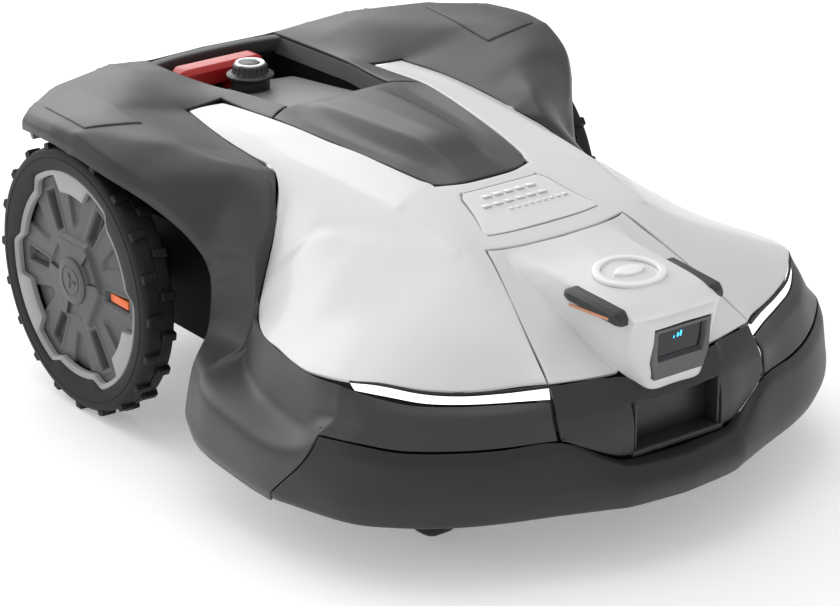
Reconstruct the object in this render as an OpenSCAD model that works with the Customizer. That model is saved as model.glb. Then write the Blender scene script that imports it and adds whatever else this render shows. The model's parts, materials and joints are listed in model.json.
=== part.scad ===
// Robotic lawn mower: floating body shell, two driven rear wheels, two front casters and a
// height-adjusted cutting disc. Millimetres, +Z up, front towards -Y, right side towards -X.

/* [Body] */
// Shell wall thickness
wall = 3; // [2:0.1:4]
// Gap between neighbouring shell panels
seam = 0.6; // [0.4:0.1:1.2]
// Shift that puts the middle of the length on the origin
y_mid = 21.5; // [15:0.5:30]

/* [Rear wheels] */
// Tread diameter over the lugs
wheel_d = 245; // [235:1:250]
// Tyre width
tyre_w = 32; // [28:1:40]
// Distance from the middle to the outer wheel face
wheel_x = 250; // [246:1:252]
// Axle position along the length
wheel_y = 207; // [200:1:215]
// Lugs in each of the two rows
lug_n = 20; // [16:1:24]
// Axle diameter
axle_d = 12; // [10:1:14]
// Radial running clearance of the axles and pins
run = 0.05; // [0.02:0.01:0.1]

/* [Casters] */
// Caster wheel diameter
caster_d = 76; // [70:1:80]
// Caster wheel width
caster_w = 24; // [20:1:28]
// Swivel axis distance from the middle
caster_x = 150; // [140:1:155]
// Swivel axis position along the length
caster_y = -195; // [-200:1:-190]
// Distance the wheel trails behind the swivel axis
trail = 20; // [15:1:24]

/* [Cutting] */
// Cutting disc diameter
disc_d = 200; // [180:2:210]
// Blade height above the ground at mid travel
cut_h = 40; // [38:1:42]
// Blade length
blade_l = 36; // [32:1:40]
// Blade width
blade_w = 19; // [16:1:22]
// Blade pivot circle radius
pivot_r = 88; // [80:1:90]

/* [Controls] */
// Stop bar length
stop_l = 92; // [80:1:100]
// Dial position along the length
dial_y = 292; // [280:1:294]
// Dial skirt diameter
dial_d = 42; // [36:1:46]

/* [Mounts] */
// Underside hole spacing across
stand_x = 240; // [200:2:260]
// Underside hole spacing along
stand_y = 90; // [80:2:120]
// Underside hole diameter
stand_d = 5.5; // [4.5:0.1:6.5]

/* [Hidden] */
$fn = 64;
wheel_r = wheel_d / 2;
wheel_z = wheel_r;
rim_r = 98;
tub_bottom = 72;
tub_top = 164;
tub_x = 165;
cyl_big = 96;

// ---------- smooth panels through rows of points ----------
function spline(a, b, c, d, t) =
  0.5 * (2 * b + (c - a) * t + (2 * a - 5 * b + 4 * c - d) * t * t + (3 * b - a - 3 * c + d) * t * t * t);
function along(r, s) =
  let(n = len(r) - 1, i = min(floor(s * n), n - 1), t = s * n - i)
  spline(r[max(i - 1, 0)], r[i], r[i + 1], r[min(i + 2, n)], t);
// cut = how much is left off at the first row, last row, row starts and row ends, as shares
function grid(rows, nu, nv, cut = [0, 0, 0, 0]) =
  let(v = 1 - cut[2] - cut[3], u = 1 - cut[0] - cut[1], n = len(rows) - 1,
    f = [for (r = rows) [for (j = [0:nv]) along(r, cut[2] + v * j / nv)]])
  [for (i = [0:nu])
    let(s = (cut[0] + u * i / nu) * n, k = min(floor(s), n - 1), t = s - k)
    [for (j = [0:nv]) spline(f[max(k - 1, 0)][j], f[k][j], f[k + 1][j], f[min(k + 2, n)][j], t)]];
function mirrored(r) = [for (p = r) [-p[0], p[1], p[2]]];
function full(r) = concat([for (i = [len(r) - 1:-1:1]) [-r[i][0], r[i][1], r[i][2]]], r);
function unit(v) = v / norm(v);
// aim "down" thickens straight down, a point thickens towards it, and a number thickens level,
// towards the upright line x = 0, y = aim
function inner(p, aim, t) =
  aim == "down" ? p - [0, 0, t] :
  is_list(aim) ? p + t * unit(aim - p) : p + t * unit([-p[0], aim - p[1], 0]);

module sheet(rows, nu, nv, aim = "down", t = wall, cut = [0, 0, 0, 0]) {
  g = grid(rows, nu, nv, cut);
  i0 = floor(nu / 2);
  j0 = floor(nv / 2);
  p0 = g[i0][j0];
  flip = cross(g[i0 + 1][j0] - p0, g[i0][j0 + 1] - p0) * (p0 - inner(p0, aim, t)) < 0;
  w = nv + 1;
  m = (nu + 1) * w;
  top = [for (r = g) for (p = r) p];
  low = [for (r = g) for (p = r) inner(p, aim, t)];
  a = [for (i = [0:nu - 1]) for (j = [0:nv - 1]) let(k = i * w + j) [k, k + 1, k + w + 1]];
  b = [for (i = [0:nu - 1]) for (j = [0:nv - 1]) let(k = i * w + j) [k, k + w + 1, k + w]];
  up = concat(a, b);
  down = [for (f = up) [f[2] + m, f[1] + m, f[0] + m]];
  rim = concat(
    [for (j = [0:nv - 1]) [j, j + 1]],
    [for (i = [0:nu - 1]) [i * w + nv, (i + 1) * w + nv]],
    [for (j = [nv:-1:1]) [nu * w + j, nu * w + j - 1]],
    [for (i = [nu:-1:1]) [i * w, (i - 1) * w]]);
  side = [for (e = rim) for (f = [[e[1], e[0], e[0] + m], [e[1], e[0] + m, e[1] + m]]) f];
  faces = concat(up, down, side);
  turned = [for (f = faces) [f[2], f[1], f[0]]];
  polyhedron(concat(top, low), flip ? turned : faces, convexity = 8);
}

module pair() {
  children();
  mirror([1, 0, 0]) children();
}

module place() translate([0, -y_mid, 0]) children();

// ---------- shell curves, right-hand half with x positive ----------
arm_rows = [
  [[84, 212, 251], [95, 214, 251], [107, 216, 250.3], [117, 217, 249.2]],
  [[83.5, 175, 254.5], [111, 172, 252.3], [119, 172, 250.5], [125.4, 172, 248]],
  [[82, 137, 256.7], [112, 133, 252.5], [122, 134, 249.5], [129.2, 135, 245.8]],
  [[78, 102, 256.4], [112, 98, 250.5], [122, 99, 247], [130, 100, 243.5]],
  [[73, 65, 254.1], [112, 60, 248.5], [122, 62, 244.5], [130.5, 65, 239.8]],
  [[67, 30, 252.7], [111.5, 20, 246], [132, 25, 235], [154, 28, 217]],
  [[61.5, -4, 249.5], [111, -22, 243], [154, -12, 212], [191, 2, 157]],
  [[55, -37, 245.8], [109.5, -60, 240], [171, -52, 194], [226, -50, 155.5]],
  [[50, -54, 243.3], [107.5, -80, 238], [175, -80, 191], [236, -90, 155.5]],
  [[57, -95, 236], [103, -112, 232], [174, -103, 188], [242, -118, 156]],
  [[72.8, -151, 222], [98, -148, 224], [171, -128, 189], [244, -145, 157]],
  [[80, -178, 211], [112, -172, 211], [171, -160, 187], [236, -180, 160]],
  [[88, -207, 196], [120, -198, 196], [169, -187, 182], [218, -203, 160.5]],
  [[97, -238, 178], [123, -223, 183], [155, -214, 173], [194, -224, 155.5]],
  [[106.5, -274, 156], [124, -261, 153.5], [146, -249, 151.5], [166, -239, 151.5]]];
bridge_rows = [
  [[0, -64, 243.2], [26, -62.5, 243.2], [50, -54, 243.3]],
  [[0, -80, 240], [30, -80, 240], [54, -78, 240]],
  [[0, -115, 232], [32, -115, 231.6], [62, -112, 231.5]],
  [[0, -140, 225], [36, -139, 225], [68, -135, 225.7]],
  [[0, -159, 220.5], [40, -157.5, 221], [72.8, -151, 222]]];
insert_rows = [
  [[0, 152, 258], [30, 152, 258.2], [45, 152, 258.5], [60, 150.5, 258.5], [81, 138, 256.9]],
  [[0, 125, 262], [32, 122, 261.5], [43, 120, 257.5], [58, 118, 255.5], [79, 118, 256.6]],
  [[0, 60, 263.5], [28, 60, 262.5], [42, 58, 254], [55, 57, 252], [71.5, 63, 254]],
  [[0, 5, 262.5], [22, 3, 261], [36, 2, 251], [47, 1, 249.5], [61, 0, 249.6]],
  [[0, -30, 252], [18, -30, 251.5], [30, -29, 247.5], [42, -29, 246.5], [55, -30, 246.6]],
  [[0, -61.9, 243.6], [16, -61.7, 243.6], [30, -60.2, 243.6], [41, -57, 243.6], [49, -51.4, 243.6]]];
nose_rows = [
  [[0, -160, 220], [40, -158.5, 220.4], [58, -156.5, 221], [66, -154.5, 221.4], [71.8, -152, 221.8]],
  [[0, -195, 218.3], [48, -185, 216], [62, -176, 209.5], [69, -176, 210], [77.5, -174, 211.5]],
  [[0, -225, 218], [49, -220, 213.5], [57, -206, 194.5], [70, -205, 195], [87, -205, 196]],
  [[0, -262, 215.5], [49.5, -255, 211.5], [51, -236, 179.5], [70, -236, 179], [95.5, -237, 178]],
  [[0, -292, 210.5], [49.5, -283, 209], [47, -262, 165], [70, -262, 163], [101, -260, 165]],
  [[0, -316, 205.5], [46, -306, 203], [44, -286, 153], [64, -283.2, 153.5], [105.5, -274.5, 156]]];
nose_face = [
  [[0, -316, 205.5], [30, -313.5, 204.5], [46, -306, 203]],
  [[0, -317, 196], [30, -314, 194], [44.5, -306, 190]],
  [[0, -311, 165], [28, -309, 164], [43, -300, 160]],
  [[0, -309, 150], [27, -307, 150], [42, -297, 150]],
  [[0, -305, 138], [26, -304, 138.5], [37, -296, 141]]];
cheek_rows = [
  [[46, -306, 203], [49.5, -283, 209], [49.5, -255, 211.5]],
  [[44.5, -306, 190], [48, -275, 190], [50, -250, 198]],
  [[43, -300, 160], [47, -270, 172], [51, -240, 184]],
  [[37, -296, 141], [44, -286, 153], [47, -262, 165]]];
deck_top_rows = [
  [[70, 357, 250], [98, 342, 258], [130, 324, 267], [172, 306, 270], [218, 289, 270], [256, 259, 267.3]],
  [[70.5, 300, 251], [92, 292, 260], [125, 282, 266.5], [185, 265, 270], [226, 255, 270.7], [260, 235, 268.5]],
  [[67.5, 245, 254], [90, 242, 255.5], [128, 238, 260], [192, 228, 269], [229, 222, 271], [261, 215, 269.3]],
  [[64, 219, 256.5], [88, 218.5, 252.5], [119, 218, 250], [194, 210, 267.5], [230, 208, 271],
    [260.8, 206, 269.3]]];
fender_rows = [
  [[119, 218, 250], [147.7, 215, 256.2], [194, 210, 267.5], [230, 208, 271], [260.8, 206, 269.3]],
  [[122, 196, 249.3], [152, 192, 255], [195, 188, 265.5], [229, 188, 270], [259, 188, 268.8]],
  [[126, 172, 248], [155, 170, 254], [193, 168, 263], [227, 170, 267.5], [256.2, 173, 267.8]],
  [[130, 135, 245.8], [155, 137, 251.5], [186, 138, 259], [219, 140, 262], [249, 141, 256.8]],
  [[131, 110, 244.3], [154, 116, 249], [180, 118, 255], [209, 119, 253], [236.7, 118.7, 243.3]],
  [[131, 95, 243], [150, 98, 247], [173, 98, 251.5], [199, 99, 246], [222.5, 100, 231.4]],
  [[131, 80, 241.5], [147, 80, 245], [165, 80, 248.5], [187, 82, 238.5], [207, 83.4, 219.5]],
  [[131.7, 64, 239.6], [144, 64, 242], [157, 64, 243.5], [174, 66, 232], [192, 66, 205]],
  [[140.6, 48.8, 232.6], [146, 46, 235], [152, 44, 234], [167, 42, 222], [190, 38, 194]],
  [[155, 29, 218], [161, 26, 214], [167, 22, 208], [177, 18, 198], [187.5, 13, 184]]];
band_rows = [
  [[256, 259, 267.3], [262, 258.5, 260], [263, 258, 251]],
  [[260, 235, 268.5], [265, 236, 261], [266, 236, 254]],
  [[261, 215, 269.3], [265.5, 214, 262], [266, 212, 254]],
  [[260.8, 206, 269.3], [265, 203, 262], [265.5, 200, 254]],
  [[259, 188, 268.8], [263, 186, 260], [264, 183, 251.5]],
  [[256.2, 173, 267.8], [261, 171, 259], [262, 168, 249.5]],
  [[249, 141, 256.8], [253.5, 142, 249], [254.5, 142, 241]],
  [[236.7, 118.7, 243.3], [241, 120, 236], [241.5, 120, 229.5]],
  [[222.5, 100, 231.4], [228, 103, 225], [229, 107, 217.5]],
  [[207, 83.4, 219.5], [214, 84.5, 210], [215, 85, 200]],
  [[192, 66, 205], [203, 67, 193], [205.5, 68, 181]],
  [[190, 38, 194], [200, 48, 180], [203.5, 60, 167]],
  [[187.5, 13, 184], [196, 40, 170], [203.5, 58, 158]]];
side_rows = [
  [[203.5, 58, 158], [187.5, 13, 184], [192.5, 3, 154], [215, -24, 151.4], [232, -70, 151.2],
    [240.5, -110, 151.2], [246, -150, 151.6], [240, -179, 156]],
  [[205, 56, 146], [193, 7, 158], [200, -2, 145], [220, -28, 144], [235.5, -71, 144],
    [243, -111, 144], [247, -151, 144], [243, -181, 146]],
  [[209, 52, 132], [202, 3, 138], [207, -4, 131], [225, -32, 130], [238.5, -72, 130],
    [244.5, -112, 130], [248, -152, 130], [246, -183, 131]],
  [[221, 40, 121], [214, -2, 122], [218, -10, 117], [234, -37, 115], [247, -75, 113],
    [252, -114, 111], [256, -150, 112], [261, -179, 119]],
  [[247, 22, 105], [255, -1, 107], [261, -12, 105], [269, -35, 101], [273, -72, 96],
    [275, -110, 92], [274, -140, 92], [271, -167.5, 92]],
  [[266, 7, 72], [270, -6, 66], [272, -16, 62], [274, -35, 59], [276, -72, 56.5],
    [277, -100, 55.5], [277, -118, 55], [276.5, -131, 55]],
  [[260, 3, 47], [263, -8, 46], [265, -18, 45.5], [267, -35, 44.5], [269, -72, 43.5],
    [270, -98, 43], [270, -113, 43], [270, -125, 43]]];
front_band_rows = [
  [[240, -179, 156], [228, -197, 151], [203, -223, 144.5], [170, -243, 141.5], [140, -259, 141],
    [107.5, -280, 142]],
  [[243, -181, 146], [232, -204, 142], [207, -230, 138], [174, -250, 136], [146, -265, 136],
    [110.2, -285, 136.5]],
  [[246, -183, 131], [234.5, -211, 130.5], [209.5, -234, 130], [177, -252.6, 130], [149.5, -268.4, 130],
    [112, -288, 130]],
  [[261, -178, 119.5], [247, -208.5, 119], [221.6, -233, 113.8], [190, -256.5, 113], [155.5, -275.5, 113],
    [109.5, -292.5, 113]]];
rear_wall_rows = [
  [[0, 371, 246], [70, 357, 250], [130, 324, 267], [172, 306, 270], [218, 289, 270], [256, 259, 267.3]],
  [[0, 377, 230], [71, 370, 232], [130, 345, 244], [176, 322, 250], [225, 299, 250], [264, 268, 251]],
  [[0, 378, 205], [72, 374, 205], [128, 361, 207], [178, 342, 210], [228, 322, 214], [266, 287, 220]]];
rear_low_rows = [
  [[0, 378, 205], [72, 374, 205], [128, 361, 207], [178, 342, 210]],
  [[0, 376, 150], [72, 373, 150], [130, 363, 150], [188, 345, 150]],
  [[0, 368, 90], [70, 365, 90], [128, 356, 90], [186, 338, 90]],
  [[0, 356, 70], [68, 353, 70], [124, 345, 70], [180, 328, 70]]];
rim_strip_rows = [
  [[55, 153, 258.5], [68, 148, 258], [81.2, 139, 256.7]],
  [[58, 182, 257.5], [70, 180, 256.5], [82.6, 178, 254.4]],
  [[64, 219, 256.5], [74, 219, 255], [83.4, 218.6, 253]]];
bumper_rows = [
  [[0, -311, 86], [50, -309.5, 88], [66, -306.5, 92], [108.6, -293.5, 110.3], [155.6, -276.5, 111.6],
    [190.5, -257.5, 112], [222, -234, 112.8], [247.5, -209.5, 118], [262, -180.5, 118.5]],
  [[0, -326, 84], [50, -322, 86], [68, -316, 90], [109, -299, 106], [156.5, -282, 103],
    [193, -263, 103], [225, -239, 104], [251, -212, 107], [267, -176, 104]],
  [[0, -333, 76], [50, -328, 77], [70, -321, 79], [110, -304, 84], [158.5, -286, 84],
    [196, -266, 84], [229, -240, 84], [256, -208, 85], [273, -164, 86]],
  [[0, -335, 66], [50, -330, 66], [70, -323, 66], [110, -306, 66], [159, -287, 66],
    [196, -267, 66], [230, -241, 66], [258, -206, 67], [275, -147.2, 70]],
  [[0, -325, 49], [50, -320, 49], [70, -313, 49], [110, -297, 49], [156, -280, 49],
    [192, -262, 49], [226, -236, 49], [254, -202, 50], [276.5, -131.6, 54]],
  [[0, -312, 45], [49, -307, 45], [69, -301, 45], [107, -287, 45], [152, -271, 45],
    [187, -254, 45], [220, -229, 45], [247, -197, 45], [269, -126.8, 45]]];
chin_side_rows = [
  [[105.7, -275.5, 153], [84, -280, 153], [64.5, -284.5, 153], [58, -289, 153]],
  [[107, -283, 141], [82, -292, 141], [63, -298, 141], [52, -301, 141]],
  [[109, -288.5, 130], [84, -297, 130], [63, -303.5, 132], [46, -306.5, 134]],
  [[108, -293, 114.5], [84, -301, 112], [63, -308, 112], [46, -310.5, 114]],
  [[107, -293, 113.5], [86, -301.5, 103], [64, -308.5, 93.5], [46, -310.5, 90]]];

nose_core = [0, -240, 120];
// x, y, z and turn of the blocks behind the shell's own joins
shell_webs = [[254, 205.5, 264, 0], [149.8, 312.2, 263, -23.2]];
nose_webs = [[0, -311.3, 201.2], [42.25, -296, 200.2], [-42.25, -296, 200.2]];

// ---------- body shell ----------
module rear_shell() color([0.28, 0.29, 0.30]) place() {
  pair() {
    sheet(deck_top_rows, 8, 12, cut = [0.004, 0.004, 0, 0.02]);
    sheet(fender_rows, 18, 12, cut = [0, 0.004, 0, 0.025]);
    sheet(band_rows, 24, 3, aim = 140, cut = [0, 0.02, 0, 0]);
    sheet(side_rows, 12, 16, aim = 90);
    sheet(front_band_rows, 6, 14, aim = 0, cut = [0, 0, 0.01, 0]);
    sheet(rim_strip_rows, 4, 3, cut = [0, 0.02, 0, 0]);
    // webs that tie the panels together behind their edges
    translate([200, 204, 260.5]) cube([12, 10, 7]);
    translate([68, 213, 246]) cube([10, 11, 7.3]);
    translate([239.2, -179, 133]) cylinder(h = 14, r = 4, $fn = 16);
    for (w = shell_webs) translate([w[0], w[1], w[2]]) rotate([0, 0, w[3]]) cube([12, 8, 7], center = true);
  }
  sheet([for (r = rear_wall_rows) full(r)], 6, 24, aim = 100, cut = [0.02, 0, 0, 0]);
  sheet([for (r = rear_low_rows) full(r)], 6, 14, aim = 100, cut = [0.02, 0, 0, 0]);
  handle();
}

// lifting handle along the rear edge of the control pocket
module handle() translate([0, 0, 233]) linear_extrude(14)
  polygon([[-73, 352], [73, 352], [72, 355.5], [36, 365.5], [0, 369.5], [-36, 365.5], [-72, 355.5]]);

module hood() color([0.93, 0.93, 0.93]) place() {
  pair() {
    sheet(arm_rows, 28, 12);
    translate([50, -84, 231.6]) cube([14, 8, 6.1]);
  }
  sheet([for (r = bridge_rows) full(r)], 8, 10, cut = [0, 0, 0.008, 0.008]);
}

module centre_insert() color([0.25, 0.26, 0.27]) place()
  sheet([for (r = insert_rows) full(r)], 14, 20);

module name_plate() color([0.9, 0.9, 0.9]) place()
  sheet([for (r = [
    [[0, -80, 240.8], [44, -80, 240.7]],
    [[0, -102, 236.2], [52, -102, 236]],
    [[0, -125, 230], [58, -124, 229.9]]]) full(r)], 4, 6, t = 0.6);

module nose_cover() color([0.95, 0.95, 0.95]) place() difference() {
  union() {
    sheet([for (r = nose_rows) full(r)], 12, 20, aim = nose_core);
    sheet([for (r = nose_face) full(r)], 8, 10, aim = nose_core, cut = [0.03, 0, 0, 0]);
    pair() sheet(cheek_rows, 6, 4, aim = nose_core, cut = [0.05, 0.05, 0.03, 0.03]);
    for (w = nose_webs) translate(w) cube([7.5, 5.4, 8.6], center = true);
  }
  translate([-31.5, -325, 144]) cube([63, 30, 51]);
  pair() bar_shape(5.8);
}

module emblem() color([0.98, 0.98, 0.98]) place()
  translate([0, -243, 217.9]) rotate([5, 0, 0]) difference() {
    scale([1, 0.75, 1]) cylinder(h = 2, r = 24);
    translate([0, 0, 1]) scale([1, 0.7, 1]) cylinder(h = 2, r = 18);
  }

module sensor_frame() color([0.35, 0.36, 0.37]) place() difference() {
  translate([0, -302, 169.5]) rotate([-5, 0, 0]) cube([62, 14, 50], center = true);
  translate([0, -306, 177]) rotate([-5, 0, 0]) cube([53, 14, 27], center = true);
}

module sensor_window() color([0.03, 0.03, 0.04]) place()
  translate([0, -301.5, 176.6]) rotate([-5, 0, 0]) cube([52.6, 4, 26.4], center = true);

module bar_shape(r) hull() {
  translate([50.5, -232, 206.5]) sphere(r = r, $fn = 20);
  translate([49.5, -298, 202.5]) sphere(r = r, $fn = 20);
}

module contact_bars() color([0.16, 0.16, 0.17]) place() pair() bar_shape(5.5);

module charge_strips() color([0.8, 0.5, 0.35]) place() pair()
  translate([56, -264, 200.5]) rotate([-3.5, 0, 0]) cube([1.2, 52, 4], center = true);

module led_strips() color([1, 1, 1]) place() pair()
  sheet([
    [[233, -183, 157.5], [217.5, -204.5, 157.5], [194.5, -225.5, 152.5], [167, -240, 148.5],
      [139, -254.5, 148.3], [106.8, -276.3, 152]],
    [[232, -188, 152.5], [215.5, -209, 150], [194, -228.5, 145.5], [167, -243, 142.5],
      [139, -258.3, 142], [107.3, -279, 143.5]]], 2, 14, aim = 0, t = 4);

module led_trims() color([0.1, 0.1, 0.1]) place() pair()
  sheet([
    [[235.4, -183, 159.6], [219.2, -204.7, 159.7], [195.6, -225.7, 154.6], [167.5, -240.5, 150.8],
      [139.4, -255.2, 150.8], [107.5, -276.5, 154.6]],
    [[234.9, -183.8, 157.7], [218.8, -205.5, 157.7], [195.6, -226.7, 152.7], [168, -241.5, 148.8],
      [140, -256.2, 148.6], [107.7, -277.5, 152.3]]], 2, 14, aim = 0, t = 0.8);

module chin_panel() color([0.24, 0.25, 0.26]) place() {
  pair() sheet(chin_side_rows, 6, 6, aim = 0);
  // docking recess: back, floor and roof
  translate([-47, -292, 92]) cube([94, 3, 42]);
  translate([-47, -309.5, 89]) cube([94, 19, 4]);
  translate([-44, -304, 133.5]) cube([88, 14, 3]);
  pair() translate([43.5, -309, 89]) cube([3.5, 18, 46]);
}

module bumper() color([0.17, 0.175, 0.18]) place()
  sheet([for (r = bumper_rows) full(r)], 12, 44, aim = 0, t = 6, cut = [0, 0, 0.0013, 0.0013]);

module fender_caps() color([0.36, 0.37, 0.38]) place() pair()
  sheet([
    [[193, 280, 272.3], [217, 266, 273.4], [244, 251, 272.1]],
    [[190, 226, 272.1], [218, 220, 273.8], [246, 216, 272.8]],
    [[189, 178, 268.2], [218, 178, 272], [246, 182, 271.8]]], 6, 6, t = 1.4);

module control_deck() color([0.42, 0.43, 0.44]) place() difference() {
  sheet([for (r = [
    [[0, 156.5, 250], [26, 156.5, 250], [52, 156.5, 250]],
    [[0, 175, 238.5], [26, 175, 238.5], [53, 175, 238.5]],
    [[0, 225, 230.5], [27, 225, 230.5], [54, 225, 230.5]],
    [[0, 290, 222], [28, 290, 222], [57, 288, 222]],
    [[0, 313, 219], [28, 313, 219], [57, 306, 219.8]]]) full(r)], 10, 10, t = 3);
  translate([0, dial_y, 210]) cylinder(h = 30, r = 19.5);
}

module pocket_tub() color([0.08, 0.08, 0.085]) place() {
  difference() {
    translate([-72, 153.5, 190]) cube([144, 196.5, 56]);
    translate([-69, 156.5, 193]) cube([138, 190.5, 60]);
    translate([0, 330, 180]) cylinder(h = 40, r = 6.2);
    translate([-80, 140, 244]) rotate([-3, 0, 0]) cube([160, 240, 30]);
  }
  difference() {
    translate([0, 330, 190]) cylinder(h = 14, r = 10);
    translate([0, 330, 180]) cylinder(h = 40, r = 6.2);
  }
  // deck standoffs
  for (x = [-40, 40]) for (y = [190, 262]) translate([x, y, 192]) cylinder(h = 26 + (262 - y) * 0.12, r = 5);
}

// x, y, cup mouth height, post foot height, stem top height
cup_at = [[112, -150, 188, 146, 215.5], [140, 130, 224, 167, 246.5]];
module shell_cups() color([0.2, 0.2, 0.2]) place() pair()
  for (c = cup_at) difference() {
    union() {
      translate([c[0], c[1], c[2]]) cylinder(h = 17, r = 21);
      translate([c[0], c[1], c[2]]) cylinder(h = c[4] - c[2], r = 6);
    }
    translate([c[0], c[1], c[2] - 1]) cylinder(h = 15, r = 18);
  }

// ---------- controls ----------
module stop_bar() color([0.85, 0.15, 0.14]) place() {
  hull() pair() for (y = [321, 339]) {
    translate([stop_l / 2 - 6, y, 243]) sphere(r = 3, $fn = 16);
    translate([stop_l / 2 - 5, y, 226]) cylinder(h = 10, r = 4, $fn = 16);
  }
  translate([0, 330, 196]) cylinder(h = 34, r = 6.1 - run);
}

module dial_base() color([0.06, 0.06, 0.065]) place()
  translate([0, dial_y, 212]) difference() {
    cylinder(h = 19, r = 18.3);
    translate([0, 0, 8]) cylinder(h = 20, r = 5 + run);
  }

module dial_knob() color([0.09, 0.09, 0.1]) place() translate([0, dial_y, 0]) {
  translate([0, 0, 221]) cylinder(h = 12, r = 5);
  difference() {
    translate([0, 0, 231.5]) cylinder(h = 15.5, r1 = dial_d / 2 - 1.5, r2 = 15.5);
    for (a = [0:20:340]) rotate([0, 0, a]) translate([19.2, 0, 233]) rotate([0, -16, 0])
      cylinder(h = 20, r = 1.4, $fn = 12);
  }
}

module dial_ring() color([0.75, 0.78, 0.78]) place() translate([0, dial_y, 247]) difference() {
  cylinder(h = 2.5, r = 14.5);
  translate([0, 0, 1.2]) cylinder(h = 3, r = 9.5);
}

// ---------- rear wheels, drawn with the axle along +Z and the outer face at z = tyre_w ----------
module wheel_place(s) place() translate([s * (wheel_x - tyre_w), wheel_y, wheel_z])
  rotate([0, s * 90, 0]) children();

module tyre() {
  rotate_extrude($fn = cyl_big) polygon([[rim_r, 2], [rim_r, tyre_w - 1], [104, tyre_w], [113, tyre_w],
    [117, tyre_w - 1], [119, tyre_w - 3.5], [119, 3.5], [117, 1], [112, 0], [102, 0]]);
  for (i = [0:lug_n - 1]) {
    rotate([0, 0, i * 360 / lug_n]) translate([114, -3, tyre_w / 2 + 0.4]) cube([wheel_r - 114.05, 6, 14]);
    rotate([0, 0, (i + 0.5) * 360 / lug_n]) translate([114, -3, 1.6]) cube([wheel_r - 114.05, 6, 14]);
  }
}

module slot_cut(a, h) rotate([0, 0, a]) translate([46, -6, h]) cube([34, 12, 20]);

module rim() difference() {
  union() {
    rotate_extrude($fn = cyl_big) polygon([[axle_d / 2, 4], [axle_d / 2, 24], [22, 29], [40, 28], [88, 25],
      [rim_r, tyre_w - 3], [rim_r, 4], [90, 4], [86, 20], [30, 20], [26, 4]]);
    translate([0, 0, 24]) cylinder(h = 8, r1 = 40, r2 = 34, $fn = 6);
  }
  for (a = [30:60:330]) slot_cut(a, 22.5);
  translate([0, 0, 29]) cylinder(h = 10, r = 22);
}

module trim() difference() {
  union() {
    rotate_extrude($fn = cyl_big) polygon([[88, 25.4], [rim_r - 0.6, tyre_w - 2.8], [rim_r - 0.6, tyre_w - 1],
      [93, tyre_w - 0.5], [88, 28]]);
    for (a = [0, 120, 240]) rotate([0, 0, a]) translate([74, -12, 26.2]) cube([15, 24, 4.6]);
  }
}

module hub_cap() translate([0, 0, 29]) cylinder(h = 3.6, r1 = 21.6, r2 = 19.5);

module marker() rotate([0, 0, 270]) translate([48, -5.6, 22.5]) cube([30, 11.2, 2.4]);

module axle() translate([0, 0, -34]) cylinder(h = 58, r = axle_d / 2);

module tyre_right() color([0.1, 0.1, 0.1]) wheel_place(-1) tyre();
module rim_right() color([0.3, 0.31, 0.32]) wheel_place(-1) rim();
module trim_right() color([0.62, 0.63, 0.64]) wheel_place(-1) trim();
module hub_cap_right() color([0.33, 0.34, 0.35]) wheel_place(-1) hub_cap();
module marker_right() color([0.95, 0.35, 0.1]) wheel_place(-1) marker();
module axle_right() color([0.7, 0.7, 0.7]) wheel_place(-1) axle();
module tyre_left() color([0.1, 0.1, 0.1]) wheel_place(1) tyre();
module rim_left() color([0.3, 0.31, 0.32]) wheel_place(1) rim();
module trim_left() color([0.62, 0.63, 0.64]) wheel_place(1) trim();
module hub_cap_left() color([0.33, 0.34, 0.35]) wheel_place(1) hub_cap();
module marker_left() color([0.95, 0.35, 0.1]) wheel_place(1) marker();
module axle_left() color([0.7, 0.7, 0.7]) wheel_place(1) axle();

// ---------- chassis ----------
tub_front = -232;
tub_step = -132;
tub_rear = 318;
nose_low = 100;
nose_top = 146;
module tub_solid(g) {
  translate([-tub_x + g, tub_step + g, tub_bottom + g])
    cube([2 * (tub_x - g), tub_rear - tub_step - 2 * g, tub_top - tub_bottom]);
  translate([0, 0, nose_low + g]) linear_extrude(nose_top - nose_low - 2 * g)
    polygon([[-tub_x + g, tub_step + 3 + g], [-tub_x + g, -205 + g], [-138 + g, tub_front + g],
      [138 - g, tub_front + g], [tub_x - g, -205 + g], [tub_x - g, tub_step + 3 + g]]);
}

module chassis_tub() color([0.13, 0.13, 0.135]) place() difference() {
  union() {
    difference() {
      tub_solid(0);
      tub_solid(3);
      translate([-200, -400, tub_top]) cube([400, 800, 100]);
    }
    pair() {
      translate([caster_x, caster_y, nose_low]) cylinder(h = 38, r = 11);
      for (y = [0, 1]) translate([stand_x / 2, 176 - y * stand_y, tub_bottom]) cylinder(h = 14, r = 7);
    }
  }
  // cutting motor opening and battery opening
  translate([0, 0, 60]) cylinder(h = 30, r = 44);
  translate([-85, 56, 60]) cube([170, 100, 30]);
  pair() {
    translate([caster_x, caster_y, 90]) cylinder(h = 52, r = 6 + run);
    translate([150, wheel_y, wheel_z]) rotate([0, 90, 0]) cylinder(h = 40, r = 22.2);
    for (y = [0, 1]) translate([stand_x / 2, 176 - y * stand_y, 60]) cylinder(h = 40, r = stand_d / 2);
  }
}

module chassis_cover() color([0.16, 0.16, 0.165]) place()
  translate([-tub_x, tub_step, tub_top]) cube([2 * tub_x, tub_rear - tub_step, 3]);

module support_posts() color([0.09, 0.09, 0.09]) place() pair()
  for (c = cup_at) {
    translate([c[0], c[1], c[3]]) cylinder(h = c[2] + 5 - c[3], r = 7);
    translate([c[0], c[1], c[3]]) cylinder(h = 6, r1 = 13, r2 = 8);
    translate([c[0], c[1], c[2] + 5]) sphere(r = 7.4, $fn = 24);
  }

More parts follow.
